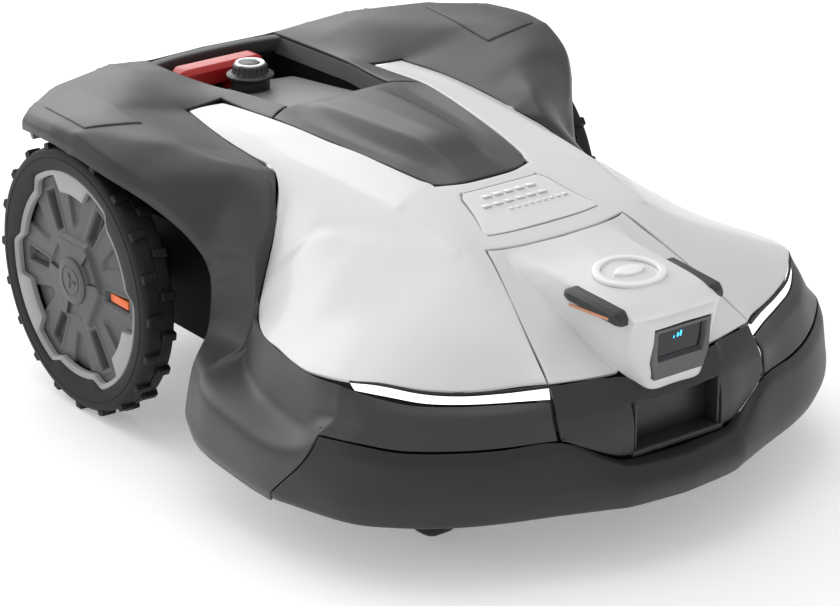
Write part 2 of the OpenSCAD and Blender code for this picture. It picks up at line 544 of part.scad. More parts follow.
module gearmotors() color([0.45, 0.46, 0.48]) place() pair() difference() {
  union() {
    translate([58, wheel_y, wheel_z]) rotate([0, 90, 0]) cylinder(h = 103, r = 30);
    translate([160, wheel_y, wheel_z]) rotate([0, 90, 0]) cylinder(h = 46, r = 22);
    translate([75, wheel_y - 18, tub_bottom + 3]) cube([70, 36, 25]);
  }
  translate([176, wheel_y, wheel_z]) rotate([0, 90, 0]) cylinder(h = 40, r = axle_d / 2 + run);
}

module battery() color([0.12, 0.2, 0.3]) place()
  translate([-82, 59, tub_bottom + 0.5]) cube([164, 94, 56]);

module battery_hatch() color([0.15, 0.15, 0.16]) place() difference() {
  translate([-92, 50, tub_bottom - 3]) cube([184, 112, 3]);
  for (x = [-88, 88]) for (y = [54, 158]) translate([x, y, tub_bottom - 4]) {
    cylinder(h = 20, r = 1.6);
    cylinder(h = 2.7, r = 3);
  }
}

module hatch_screws() color([0.7, 0.71, 0.72]) place()
  for (x = [-88, 88]) for (y = [54, 158]) {
    translate([x, y, tub_bottom - 2.7]) cylinder(h = 1.3, r = 2.9);
    translate([x, y, tub_bottom - 1.5]) cylinder(h = 1.5, r = 1.55);
  }

module main_board() color([0.05, 0.3, 0.15]) place() {
  translate([-80, -226, 112]) cube([160, 76, 1.6]);
  for (x = [-74, 74]) for (y = [-220, -156]) translate([x, y, nose_low + 3]) cylinder(h = 9, r = 3);
  translate([-50, -215, 113.6]) cube([30, 30, 6]);
  translate([5, -215, 113.6]) cube([50, 22, 9]);
}

module guide_rods() color([0.75, 0.76, 0.78]) place()
  for (x = [-54, 54]) translate([x, 0, tub_bottom + 3]) cylinder(h = tub_top - tub_bottom - 3, r = 5);

module height_motor() color([0.4, 0.41, 0.43]) place() {
  difference() {
    translate([12, -62, 117]) rotate([0, 90, 0]) cylinder(h = 44, r = 13);
    translate([10, -62, 117]) rotate([0, 90, 0]) cylinder(h = 20, r = 3 + run);
  }
  translate([20, -75, tub_bottom + 3]) cube([30, 26, 32]);
}

module height_pinion() color([0.85, 0.85, 0.8]) place() translate([0, -62, 117]) rotate([0, 90, 0]) {
  translate([0, 0, -7]) cylinder(h = 14, r = 8.4);
  translate([0, 0, 0]) cylinder(h = 24, r = 3);
  for (a = [15:30:345]) rotate([0, 0, a]) translate([7, -0.8, -6.5]) cube([3.6, 1.6, 13]);
}

// ---------- cutting system ----------
module carriage() color([0.22, 0.23, 0.24]) place() {
  difference() {
    union() {
      translate([0, 0, 60]) cylinder(h = 60, r = 38);
      translate([-64, -12, 97]) cube([128, 24, 12]);
      translate([-7, -48.5, 96]) cube([14, 14, 42]);
    }
    for (x = [-54, 54]) translate([x, 0, 90]) cylinder(h = 40, r = 5 + run);
    translate([0, 0, 50]) cylinder(h = 40, r = 5 + run);
  }
  pitch = 2 * PI * 10 / 12;
  for (k = [0:7]) translate([-7, -51, 97.5 + pitch * k + 2.1 - 0.8]) cube([14, 2.6, 1.6]);
}

module spindle() color([0.75, 0.76, 0.78]) place()
  translate([0, 0, cut_h - 5.5]) cylinder(h = 49.5, r = 5);

module cutting_disc() color([0.55, 0.56, 0.58]) place() translate([0, 0, cut_h + 2]) difference() {
  union() {
    cylinder(h = 2, r = disc_d / 2, $fn = cyl_big);
    translate([0, 0, 2]) cylinder(h = 8, r = 16);
  }
  translate([0, 0, -1]) cylinder(h = 20, r = 5);
  for (a = [0, 120, 240]) rotate([0, 0, a]) translate([pivot_r, 0, -1]) cylinder(h = 5, r = 2);
  for (a = [60, 180, 300]) rotate([0, 0, a]) translate([58, 0, -1]) cylinder(h = 5, r = 12);
}

module skid_plate() color([0.1, 0.1, 0.1]) place() translate([0, 0, cut_h - 7]) difference() {
  union() {
    cylinder(h = 2.4, r1 = 64, r2 = 70);
    cylinder(h = 5, r = 12);
  }
  translate([0, 0, 1]) cylinder(h = 10, r = 5 + run);
}

module blade(a) place() rotate([0, 0, a]) translate([pivot_r, 0, cut_h + 0.5]) difference() {
  translate([-8, -blade_w / 2, 0]) cube([blade_l, blade_w, 1]);
  translate([0, 0, -1]) cylinder(h = 4, r = 2.5 + run);
}
module blade_a() color([0.8, 0.81, 0.82]) blade(0);
module blade_b() color([0.8, 0.81, 0.82]) blade(120);
module blade_c() color([0.8, 0.81, 0.82]) blade(240);

module blade_screws() color([0.6, 0.61, 0.62]) place()
  for (a = [0, 120, 240]) rotate([0, 0, a]) translate([pivot_r, 0, cut_h - 2]) {
    cylinder(h = 2.1, r = 5);
    cylinder(h = 4, r = 2.5);
    cylinder(h = 6, r = 2);
  }

// ---------- casters ----------
module caster_fork(s) place() translate([s * caster_x, caster_y, 0]) {
  translate([0, 0, 84]) cylinder(h = 54, r = 6);
  translate([0, 0, 84]) cylinder(h = 8, r = 15);
  pair() hull() {
    translate([13.5, 0, 88]) rotate([0, 90, 0]) cylinder(h = 4, r = 4, $fn = 24);
    translate([13.5, trail, caster_d / 2]) rotate([0, 90, 0]) cylinder(h = 4, r = 8, $fn = 24);
  }
  translate([-17, -6, 84]) cube([34, 12, 6]);
  translate([-16, trail, caster_d / 2]) rotate([0, 90, 0]) cylinder(h = 32, r = 4);
}

module caster_wheel(s) place() translate([s * caster_x, caster_y + trail, caster_d / 2]) rotate([0, 90, 0])
  rotate_extrude($fn = cyl_big) polygon([[4 + run, -9], [4 + run, 9], [10, 12], [30, caster_w / 2],
    [35, caster_w / 2 - 2], [caster_d / 2, 6], [caster_d / 2, -6], [35, 2 - caster_w / 2],
    [30, -caster_w / 2], [10, -12]]);

module caster_fork_right() color([0.15, 0.15, 0.15]) caster_fork(-1);
module caster_fork_left() color([0.15, 0.15, 0.15]) caster_fork(1);
module caster_wheel_right() color([0.2, 0.2, 0.2]) caster_wheel(-1);
module caster_wheel_left() color([0.2, 0.2, 0.2]) caster_wheel(1);

rear_shell();
hood();
centre_insert();
name_plate();
nose_cover();
emblem();
sensor_frame();
sensor_window();
contact_bars();
charge_strips();
led_strips();
led_trims();
chin_panel();
bumper();
fender_caps();
control_deck();
pocket_tub();
shell_cups();
stop_bar();
dial_base();
dial_knob();
dial_ring();
tyre_right();
rim_right();
trim_right();
hub_cap_right();
marker_right();
axle_right();
tyre_left();
rim_left();
trim_left();
hub_cap_left();
marker_left();
axle_left();
chassis_tub();
chassis_cover();
support_posts();
gearmotors();
battery();
battery_hatch();
main_board();
hatch_screws();
guide_rods();
height_motor();
height_pinion();
carriage();
spindle();
cutting_disc();
skid_plate();
blade_a();
blade_b();
blade_c();
blade_screws();
caster_fork_right();
caster_wheel_right();
caster_fork_left();
caster_wheel_left();
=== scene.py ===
"""Robotic lawn mower: the looks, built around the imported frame. The machine faces -Y, so its right is -X. The
tables hold one half in millimetres, with x positive and mirrored, before the shift Y_MID that puts the middle of
the length on the origin."""
import json
import math
import bpy
import bmesh
import numpy as np
from mathutils import Matrix, Vector


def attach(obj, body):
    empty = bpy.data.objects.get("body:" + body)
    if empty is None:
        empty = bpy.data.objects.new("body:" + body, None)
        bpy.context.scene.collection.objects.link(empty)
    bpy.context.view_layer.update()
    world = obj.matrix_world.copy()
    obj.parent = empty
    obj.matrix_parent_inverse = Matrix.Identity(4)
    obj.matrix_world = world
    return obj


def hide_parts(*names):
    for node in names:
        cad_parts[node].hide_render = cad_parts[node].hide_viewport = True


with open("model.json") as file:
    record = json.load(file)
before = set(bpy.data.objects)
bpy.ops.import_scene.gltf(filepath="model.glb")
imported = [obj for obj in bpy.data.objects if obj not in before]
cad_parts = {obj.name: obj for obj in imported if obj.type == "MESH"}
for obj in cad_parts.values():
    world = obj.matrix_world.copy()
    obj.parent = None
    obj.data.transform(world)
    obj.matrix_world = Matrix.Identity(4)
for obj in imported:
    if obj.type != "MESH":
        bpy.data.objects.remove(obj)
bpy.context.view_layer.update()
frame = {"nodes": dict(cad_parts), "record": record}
NODES = frame["nodes"]
Y_MID = 21.5
CORE = (0, 20, 40)      # a point inside the body: panel faces point away from it
GAP = 0.45              # half of the gap between two panels
LIP = 0.9               # radius of a moulded panel edge
WALL = 2.6


# ---------- curves and patches ----------
def cr(a, b, c, d, t):
    return 0.5 * (2 * b + (c - a) * t + (2 * a - 5 * b + 4 * c - d) * t ** 2 + (3 * b - a - 3 * c + d) * t ** 3)


def curve(points, per, breaks=()):
    """Catmull-Rom through points, per steps a span. The curve starts afresh at each index in breaks."""
    p = np.array(points, float)
    n = len(p) - 1
    out = []
    for i in range(n):
        a = p[i - 1] if i > 0 and i not in breaks else 2 * p[i] - p[i + 1]
        d = p[i + 2] if i < n - 1 and i + 1 not in breaks else 2 * p[i + 1] - p[i]
        out += [cr(a, p[i], p[i + 1], d, k / per) for k in range(per)]
    out.append(p[n])
    return np.array(out)


def patch(rows, su, sv, bu=(), bv=()):
    across = [curve(r, sv, bv) for r in rows]
    return curve(across, su, bu)


def mirror(g):
    return g[:, ::-1] * np.array([-1, 1, 1])


def both(g):
    """A half patch whose first column is on the middle line, and its mirror image, as one."""
    return np.concatenate([mirror(g)[:, :-1], g], 1)


def soften(g, axis, at, k):
    """Rounds a crease at one index along an axis, over about k cells."""
    g = np.moveaxis(g.copy(), axis, 0)
    for n in range(k):
        lo, hi = max(at - k + n // 2, 1), min(at + k - n // 2, len(g) - 2)
        g[lo:hi + 1] = 0.25 * g[lo - 1:hi] + 0.5 * g[lo:hi + 1] + 0.25 * g[lo + 1:hi + 2]
    return np.moveaxis(g, 0, axis)


def snap(g, axis, end, target, reach):
    """Moves one edge of a patch onto target, fading the move out over reach cells."""
    g = np.moveaxis(g.copy(), axis, 0)
    if end < 0:
        g = g[::-1].copy()
    shift = target - g[0]
    for k in range(min(reach, len(g))):
        g[k] += shift * (1 - k / reach) ** 2
    if end < 0:
        g = g[::-1].copy()
    return np.moveaxis(g, 0, axis)


def patch_at(rows, u, v):
    """Points of a patch at any u and v from 0 to 1."""
    def at(p, s):
        n = len(p) - 1
        i = min(int(s * n), n - 1)
        a = p[i - 1] if i else 2 * p[0] - p[1]
        d = p[i + 2] if i < n - 1 else 2 * p[n] - p[n - 1]
        return cr(a, p[i], p[i + 1], d, s * n - i)
    return np.array([at([at(np.array(r, float), b) for r in rows], a) for a, b in zip(u, v)])


def smooth01(x):
    x = np.clip(x, 0, 1)
    return x * x * (3 - 2 * x)


def to_line(p, line):
    """Distance in plan from points p to a polyline, with its sign: positive on the line's left."""
    best = np.full(len(p), 1e9)
    sign = np.ones(len(p))
    q = p[:, :2]
    line = np.array(line, float)[:, :2]
    for a, b in zip(line[:-1], line[1:]):
        ab = b - a
        t = np.clip(((q - a) @ ab) / (ab @ ab), 0, 1)
        off = q - (a + t[:, None] * ab)
        d = np.hypot(off[:, 0], off[:, 1])
        side = np.sign(ab[0] * (q[:, 1] - a[1]) - ab[1] * (q[:, 0] - a[0]))
        m = d < best
        best[m], sign[m] = d[m], side[m]
    return best * sign


# ---------- meshes ----------
def scene_mesh(name, part, finish, nodes=(), body="shell", sharp=38):
    """A piece from (millimetre points, faces), riding on a body and shown in place of CAD nodes."""
    me = bpy.data.meshes.new(name)
    v = (np.array(part[0], float).reshape(-1, 3) - np.array([0, Y_MID, 0])) / 1000
    me.from_pydata([tuple(p) for p in v], [], [tuple(int(i) for i in f) for f in part[1]])
    me.validate()
    me.update()
    me.materials.append(M[finish])
    me.polygons.foreach_set("use_smooth", np.ones(len(me.polygons), bool))
    me.set_sharp_from_angle(angle=math.radians(sharp))
    o = bpy.data.objects.new(name, me)
    bpy.context.scene.collection.objects.link(o)
    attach(o, body)
    if nodes:
        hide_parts(*nodes)


def weld(grids, near=0.05):
    """One mesh from patches, joined where their edges meet."""
    bm = bmesh.new()
    for g in grids:
        rows = [[bm.verts.new(p) for p in r] for r in g]
        for i in range(len(rows) - 1):
            for j in range(len(rows[0]) - 1):
                bm.faces.new([rows[i][j], rows[i + 1][j], rows[i + 1][j + 1], rows[i][j + 1]])
    bmesh.ops.remove_doubles(bm, verts=bm.verts, dist=near)
    bmesh.ops.dissolve_degenerate(bm, edges=bm.edges, dist=0.01)
    bmesh.ops.recalc_face_normals(bm, faces=bm.faces)
    return bm


def shell_of(bm, core=CORE, thick=WALL, lip=LIP, gap=GAP, relax=0, relief=None, up=False, hold=None,
             fair=None):
    """Turns an open surface into a closed panel: outside face, rounded lip, edge wall and inside face. relax
    passes smooth all but its edge and what hold picks, fair = (passes, what) smooths one region more, and
    relief lifts the outside along its normal."""
    bm.normal_update()
    way = 0.0
    for f in bm.faces:
        c = f.calc_center_median()
        out = Vector((0, 0, 1)) if up else c - Vector(core)
        way += f.normal.dot(out.normalized()) * f.calc_area()
    if way < 0:
        bmesh.ops.reverse_faces(bm, faces=bm.faces)
    bm.verts.ensure_lookup_table()
    bm.verts.index_update()
    n = len(bm.verts)
    co = np.array([v.co for v in bm.verts], float)
    edge = np.array([v.is_boundary for v in bm.verts])
    pairs = np.array([[e.verts[0].index, e.verts[1].index] for e in bm.edges])
    deg = np.bincount(pairs.ravel(), minlength=n)[:, None]

    def smoothed(free, passes):
        for _ in range(passes):
            s = np.zeros_like(co)
            np.add.at(s, pairs[:, 0], co[pairs[:, 1]])
            np.add.at(s, pairs[:, 1], co[pairs[:, 0]])
            co[free] = (0.5 * co + 0.5 * s / deg)[free]
    smoothed(~edge if hold is None else ~(edge | hold(co)), relax)
    if fair is not None:
        smoothed(fair[1](co) & ~edge, fair[0])
    faces = [[v.index for v in f.verts] for f in bm.faces]

    def normals(p):
        nn = np.zeros_like(p)
        for f in faces:
            q = p[f]
            w = np.cross(q[1] - q[0], q[-1] - q[0]) + np.cross(q[2] - q[1], q[0] - q[1])
            nn[f] += w
        return nn / np.maximum(np.linalg.norm(nn, axis=1), 1e-9)[:, None]
    nor = normals(co)
    if relief is not None:
        co = co + nor * relief(co)[:, None]
        nor = normals(co)
    # outward directions along the edge
    away = np.zeros_like(co)
    loops = []
    for e in bm.edges:
        if e.is_boundary:
            lo = [lo for lo in e.link_faces[0].loops if lo.edge == e][0]
            a, b = lo.vert.index, lo.link_loop_next.vert.index
            d = co[b] - co[a]
            d /= max(np.linalg.norm(d), 1e-9)
            for k in (a, b):
                away[k] += np.cross(d, nor[k])
            loops.append((a, b))
    bi = np.where(edge)[0]
    o = away[bi]
    half = np.maximum(np.linalg.norm(o, axis=1) / 2, 0.5)
    o /= np.maximum(np.linalg.norm(o, axis=1), 1e-9)[:, None]
    o *= (1 / np.maximum(half, 0.7))[:, None]
    near = np.full(n, 1e9)
    for a, b in pairs:
        if edge[a] != edge[b]:
            d = np.linalg.norm(co[a] - co[b])
            k = a if edge[a] else b
            near[k] = min(near[k], d)
    back = np.minimum(gap + lip, np.maximum(near[bi] * 0.45, 0.15))
    co[bi] -= o * back[:, None]
    r = np.maximum(back - gap * back / (gap + lip), 0.05)[:, None]
    nb = nor[bi]
    points = [co]
    index = {int(k): i for i, k in enumerate(bi)}
    rings = [bi]
    base = n
    for turn in (30, 60, 90):
        t = math.radians(turn)
        points.append(co[bi] + o * r * math.sin(t) - nb * r * (1 - math.cos(t)))
        rings.append(np.arange(base, base + len(bi)))
        base += len(bi)
    points.append(points[-1] - nb * np.maximum(thick - r, 0.4))
    rings.append(np.arange(base, base + len(bi)))
    base += len(bi)
    inner = np.zeros(n, int)
    inside = np.where(~edge)[0]
    points.append(co[inside] - nor[inside] * thick)
    inner[inside] = np.arange(base, base + len(inside))
    inner[bi] = rings[-1]
    out = [list(f) for f in faces]
    for a, b in loops:
        i, j = index[a], index[b]
        for k in range(len(rings) - 1):
            out.append([rings[k][j], rings[k][i], rings[k + 1][i], rings[k + 1][j]])
    out += [[inner[i] for i in f[::-1]] for f in faces]
    bm.free()
    return np.concatenate(points), out


def panel(name, grids, finish, nodes=(), slot=None, near=0.05, **how):
    scene_mesh(name, shell_of(weld(grids, near), **how), finish, nodes)


def loft(rings, close_ends=True):
    """(points, faces) from rings of equal length."""
    v = np.concatenate(rings)
    m = len(rings[0])
    f = []
    for i in range(len(rings) - 1):
        for j in range(m):
            k = (j + 1) % m
            f.append([i * m + j, i * m + k, (i + 1) * m + k, (i + 1) * m + j])
    if close_ends:
        f.append(list(range(m))[::-1])
        f.append([(len(rings) - 1) * m + j for j in range(m)])
    return v, f


def hoop(rings):
    """(points, faces) from rings whose last one joins on to the first."""
    v, f = loft(rings + [rings[0]], close_ends=False)
    v = v[:-len(rings[0])]
    return v, [[i % len(v) for i in q] for q in f]


def circle(r, a, z):
    """Points at radius r, angles a and height z."""
    return np.stack([r * np.cos(a), r * np.sin(a), np.zeros(len(a)) + z], 1)


def outline(corners, r, n=5):
    """Rounded corners, n points each, from (x, z) corners given anticlockwise."""
    c = np.array(corners, float)
    out = []
    for i, p in enumerate(c):
        a, b = c[i - 1] - p, c[(i + 1) % len(c)] - p
        a, b = a / np.linalg.norm(a), b / np.linalg.norm(b)
        half = math.acos(np.clip(a @ b, -1, 1)) / 2
        d = r / math.tan(half)
        s, e = p + a * d, p + b * d
        for t in np.linspace(0, 1, n):
            out.append((1 - t) ** 2 * s + 2 * t * (1 - t) * p + t ** 2 * e)
    return np.array(out)


def joined(parts):
    v, f, n = [], [], 0
    for pv, pf in parts:
        v.append(np.array(pv, float))
        f += [[i + n for i in q] for q in pf]
        n += len(pv)
    return np.concatenate(v), f


def turned(profile, count, closed=False):
    """Revolves (radius, height) points about +Z: (points, faces)."""
    a = np.radians(np.arange(count) * 360.0 / count)
    rings = [circle(r, a, h) for r, h in profile]
    return hoop(rings) if closed else loft(rings, close_ends=False)


def box_round(sx, sy, sz, r, steps=3):
    """A box with rounded edges, centred: (points, faces)."""
    bm = bmesh.new()
    bmesh.ops.create_cube(bm, size=1)
    bmesh.ops.scale(bm, vec=(sx, sy, sz), verts=bm.verts)
    bmesh.ops.bevel(bm, geom=list(bm.edges), offset=r, segments=steps, profile=0.5, affect="EDGES")
    bm.verts.index_update()
    v = np.array([p.co for p in bm.verts])
    f = [[p.index for p in q.verts] for q in bm.faces]
    bm.free()
    return v, f


def put(part, move=(0, 0, 0), turn=(0, 0, 0)):
    """Turns a part by degrees about X, Y, Z and moves it."""
    v, f = part
    m = (Matrix.Rotation(math.radians(turn[2]), 3, "Z") @ Matrix.Rotation(math.radians(turn[1]), 3, "Y")
         @ Matrix.Rotation(math.radians(turn[0]), 3, "X"))
    return v @ np.array(m).T + np.array(move, float), f


def flipped(part):
    """The mirror image across x = 0."""
    v, f = part
    return v * np.array([-1, 1, 1]), [q[::-1] for q in f]


def paired(part):
    return joined([part, flipped(part)])


# ---------- materials ----------
M = {}


def material(name, colour, rough, grain=0.0, scale=900.0, tint=0.06, rough_vary=0.05, metal=0.0, coat=0.0,
             spec=0.5, emit=None, stretch=(1, 1, 1)):
    """A procedural finish: slight drift of tone and gloss over the part, and a moulded grain."""
    m = M[name] = bpy.data.materials.new(name)
    m.use_nodes = True
    nt = m.node_tree
    nt.nodes.clear()

    def node(kind, **values):
        n = nt.nodes.new("ShaderNode" + kind)
        for k, x in values.items():
            n.inputs[k.replace("_", " ")].default_value = x
        return n

    def link(a, b, to):
        nt.links.new(a.outputs[0], b.inputs[to])
    out = node("OutputMaterial")
    sh = node("BsdfPrincipled", Metallic=metal, IOR=1.5, Specular_IOR_Level=spec, Coat_Weight=coat,
              Coat_Roughness=0.08, Sheen_Weight=0.0)
    link(sh, out, 0)
    where = node("Mapping", Scale=stretch)
    nt.links.new(node("TexCoord").outputs["Object"], where.inputs[0])
    big = node("TexNoise", Scale=7.0, Detail=3.0)
    link(where, big, "Vector")
    ramp = node("ValToRGB")
    for e, at, k in zip(ramp.color_ramp.elements, (0.35, 0.65), (1 - tint, 1 + tint)):
        e.position = at
        e.color = (*np.clip(np.array(colour, float) * k, 0, 1), 1)
    link(big, ramp, 0)
    link(ramp, sh, "Base Color")
    gloss = node("MapRange", To_Min=max(rough - rough_vary, 0.02), To_Max=min(rough + rough_vary, 1.0))
    link(big, gloss, 0)
    link(gloss, sh, "Roughness")
    if grain > 0:
        fine = node("TexNoise", Scale=scale, Detail=4.0)
        link(where, fine, "Vector")
        bump = node("Bump", Strength=grain, Distance=0.0004)
        link(fine, bump, "Height")
        link(bump, sh, "Normal")
    if emit:
        sh.inputs["Emission Color"].default_value = (*emit[0], 1)
        sh.inputs["Emission Strength"].default_value = emit[1]


material("shell_grey", (0.040, 0.041, 0.043), 0.40, 0.08, 1400, 0.03, 0.02)
material("hood_white", (0.75, 0.75, 0.75), 0.30, 0.0, 900, 0.006, 0.02, coat=0.15)
material("insert_grey", (0.040, 0.041, 0.043), 0.36, 0.06, 1400, 0.03, 0.02)
material("plate_white", (0.80, 0.80, 0.80), 0.32, 0.0, 900, 0.008, 0.02)
material("mark_white", (0.93, 0.93, 0.93), 0.25, 0.0, 900, 0.005, 0.02, coat=0.2)
material("seam_grey", (0.25, 0.25, 0.25), 0.5, 0.0, 900, 0.02)
material("frame_grey", (0.10, 0.10, 0.104), 0.35, 0.10, 1500, 0.03)
material("dark_glass", (0.008, 0.009, 0.012), 0.08, 0.0, 900, 0.1, 0.02)
material("bar_black", (0.028, 0.029, 0.031), 0.36, 0.12, 1600, 0.05)
material("gap_black", (0.004, 0.004, 0.0045), 0.55, 0.05, 1200, 0.1)
material("copper", (0.78, 0.36, 0.22), 0.35, 0.15, 900, 0.08, metal=0.7, stretch=(1, 0.05, 1))
material("led_white", (0.95, 0.95, 0.95), 0.3, 0.05, 700, 0.01, emit=((1, 1, 1), 1.2))
material("chin_grey", (0.028, 0.0285, 0.030), 0.40, 0.10, 1500, 0.03, 0.02)
material("bumper_grey", (0.016, 0.0163, 0.017), 0.46, 0.12, 1600, 0.04, 0.02)
material("cap_grey", (0.034, 0.035, 0.037), 0.38, 0.08, 1400, 0.03, 0.02)
material("deck_grey", (0.19, 0.193, 0.197), 0.45, 0.08, 1400, 0.02)
# near-black: painted shade, for the sheet behind the bumper seam and the cups inside the shell
material("inner_black", (0.004, 0.004, 0.0045), 0.65, 0.15, 1200, 0.08, spec=0.25)
material("stop_red", (0.50, 0.018, 0.018), 0.30, 0.04, 1100, 0.03, coat=0.1)
material("dial_black", (0.016, 0.016, 0.018), 0.32, 0.08, 1500, 0.06)
material("dial_silver", (0.62, 0.65, 0.66), 0.32, 0.05, 900, 0.03, metal=0.85)
material("tyre_rubber", (0.007, 0.007, 0.0075), 0.60, 0.25, 1300, 0.10, spec=0.35)
material("rim_grey", (0.072, 0.074, 0.077), 0.42, 0.10, 1500, 0.03)
material("rim_dark", (0.012, 0.0125, 0.013), 0.45, 0.12, 1500, 0.05)
material("trim_light", (0.32, 0.325, 0.335), 0.38, 0.10, 1500, 0.02)
material("marker_orange", (0.90, 0.17, 0.035), 0.35, 0.04, 900, 0.03)
material("steel", (0.55, 0.56, 0.57), 0.30, 0.10, 600, 0.05, metal=1.0, stretch=(1, 1, 0.1))
material("motor_metal", (0.33, 0.34, 0.35), 0.45, 0.25, 800, 0.05, metal=0.9)
material("battery_blue", (0.03, 0.06, 0.12), 0.4, 0.08, 700, 0.05)
material("board_green", (0.01, 0.12, 0.05), 0.4, 0.1, 500, 0.1)
material("gear_plastic", (0.7, 0.7, 0.66), 0.4, 0.05, 900, 0.03)
material("blue_light", (0.02, 0.25, 0.5), 0.3, 0.0, 900, 0.05, emit=((0.05, 0.5, 1.0), 2.5))
material("floor", (0.90, 0.90, 0.90), 0.8, 0.0, 50, 0.003, 0.02, spec=0.1, emit=((1, 1, 1), 0.30))


# ---------- curves of the body, the half with x positive ----------
ARM = [
    [[84, 212, 251], [95, 214, 251], [107, 216, 250.3], [117, 217, 249.2]],
    [[83.5, 175, 254.5], [111, 172, 252.3], [119, 172, 250.5], [125.4, 172, 248]],
    [[82, 137, 256.7], [112, 133, 252.5], [122, 134, 249.5], [129.2, 135, 245.8]],
    [[78, 102, 256.4], [112, 98, 250.5], [122, 99, 247], [130, 100, 243.5]],
    [[73, 65, 254.1], [112, 60, 248.5], [122, 62, 244.5], [130.5, 65, 239.8]],
    [[67, 30, 252.7], [111.5, 20, 246], [132, 25, 235], [154, 28, 217]],
    [[61.5, -4, 249.5], [111, -22, 243], [154, -12, 212], [191, 2, 157]],
    [[55, -37, 245.8], [109.5, -60, 240], [171, -52, 194], [226, -50, 155.5]],
    [[50, -54, 243.3], [107.5, -80, 238], [175, -80, 191], [236, -90, 155.5]],
    [[57, -95, 236], [103, -112, 232], [174, -103, 188], [242, -118, 156]],
    [[72.8, -151, 222], [98, -148, 224], [171, -128, 189], [244, -145, 157]],
    [[80, -178, 211], [112, -172, 211], [171, -160, 187], [236, -180, 160]],
    [[88, -207, 196], [120, -198, 196], [169, -187, 182], [218, -203, 160.5]],
    [[97, -238, 178], [123, -223, 183], [155, -214, 173], [194, -224, 155.5]],
    [[106.5, -274, 156], [124, -261, 153.5], [146, -249, 151.5], [166, -239, 151.5]]]
BRIDGE = [
    [[0, -64, 243.2], [26, -62.5, 243.2], [50, -54, 243.3]],
    [[0, -80, 240], [30, -80, 240], [54, -78, 240]],
    [[0, -115, 232], [32, -115, 231.6], [62, -112, 231.5]],
    [[0, -140, 225], [36, -139, 225], [68, -135, 225.7]],
    [[0, -159, 220.5], [40, -157.5, 221], [72.8, -151, 222]]]
PAD_FOLD = [[60, -185], [94, -155], [108, -120], [120, -94], [129, -72], [137, -47], [146, -27], [155, -19],
            [166, -12], [178, -4], [200, 4]]
INSERT = [
    [[0, 152, 258], [30, 152, 258.2], [45, 152, 258.5], [60, 150.5, 258.5], [81, 138, 256.9]],
    [[0, 125, 262], [32, 122, 261.5], [43, 120, 257.5], [58, 118, 255.5], [79, 118, 256.6]],
    [[0, 60, 263.5], [28, 60, 262.5], [42, 58, 254], [55, 57, 252], [71.5, 63, 254]],
    [[0, 5, 262.5], [22, 3, 261], [36, 2, 251], [47, 1, 249.5], [61, 0, 249.6]],
    [[0, -30, 252], [18, -30, 251.5], [30, -29, 247.5], [42, -29, 246.5], [55, -30, 246.6]],
    [[0, -61.9, 243.6], [16, -61.7, 243.6], [30, -60.2, 243.6], [41, -57, 243.6], [49, -51.4, 243.6]]]
NOSE = [
    [[0, -160, 220], [40, -158.5, 220.4], [58, -156.5, 221], [66, -154.5, 221.4], [71.8, -152, 221.8]],
    [[0, -195, 218.3], [48, -185, 216], [62, -176, 209.5], [69, -176, 210], [77.5, -174, 211.5]],
    [[0, -225, 218], [49, -220, 213.5], [57, -206, 194.5], [70, -205, 195], [87, -205, 196]],
    [[0, -262, 215.5], [49.5, -255, 211.5], [51, -236, 179.5], [70, -236, 179], [95.5, -237, 178]],
    [[0, -292, 210.5], [49.5, -283, 209], [47, -262, 165], [70, -262, 163], [101, -260, 165]],
    [[0, -316, 205.5], [46, -306, 203], [44, -286, 153], [64, -283.2, 153.5], [105.5, -274.5, 156]]]
NOSE_FACE = [
    [[0, -316, 205.5], [30, -313.5, 204.5], [46, -306, 203]],
    [[0, -317, 196], [30, -314, 194], [45.5, -303, 190]],
    [[0, -311, 165], [28, -309, 164], [43.5, -295, 163]],
    [[0, -309, 150], [27, -307, 150], [41.5, -291, 153]],
    [[0, -305, 138], [26, -304, 138.5], [38, -289, 145]]]
DECK_TOP = [
    [[70, 357, 250], [98, 342, 258], [130, 324, 267]],
    [[70.5, 300, 251], [92, 292, 260], [125, 282, 266.5]],
    [[67.5, 245, 254], [90, 242, 255.3], [128, 238, 258]],
    [[64, 219, 256.5], [88, 218.5, 252.5], [119, 218, 250]],
    [[62, 200, 257], [86, 199, 253.5], [122, 196, 249.3]]]
FENDER = [
    [[130, 324, 267], [150, 315, 268.9], [172, 306, 270], [218, 289, 270]],
    [[125, 282, 266.5], [154, 274, 269], [185, 265, 270], [226, 255, 270.7]],
    [[128, 238, 258], [158, 233.5, 264.6], [192, 228, 269], [229, 222, 271]],
    [[119, 218, 250], [147.7, 215, 256.2], [194, 210, 267.5], [230, 208, 271]],
    [[122, 196, 249.3], [152, 192, 255], [195, 188, 265.5], [229, 188, 270]],
    [[126, 172, 248], [155, 170, 254], [193, 168, 263], [227, 170, 267.5]],
    [[130, 135, 245.8], [155, 137, 251.5], [186, 138, 259], [219, 140, 262]],
    [[131, 110, 244.3], [154, 116, 249], [180, 118, 255], [209, 119, 253]],
    [[131, 95, 243], [150, 98, 247], [173, 98, 251.5], [199, 99, 246]],
    [[131, 80, 241.5], [147, 80, 245], [165, 80, 248.5], [187, 82, 238.5]],
    [[131.7, 64, 239.6], [144, 64, 242], [157, 64, 243.5], [174, 66, 232]],
    [[140.6, 48.8, 232.6], [146, 46, 235], [152, 44, 234], [167, 42, 222]],
    [[155, 29, 218], [161, 26, 214], [167, 22, 208], [177, 18, 198]]]
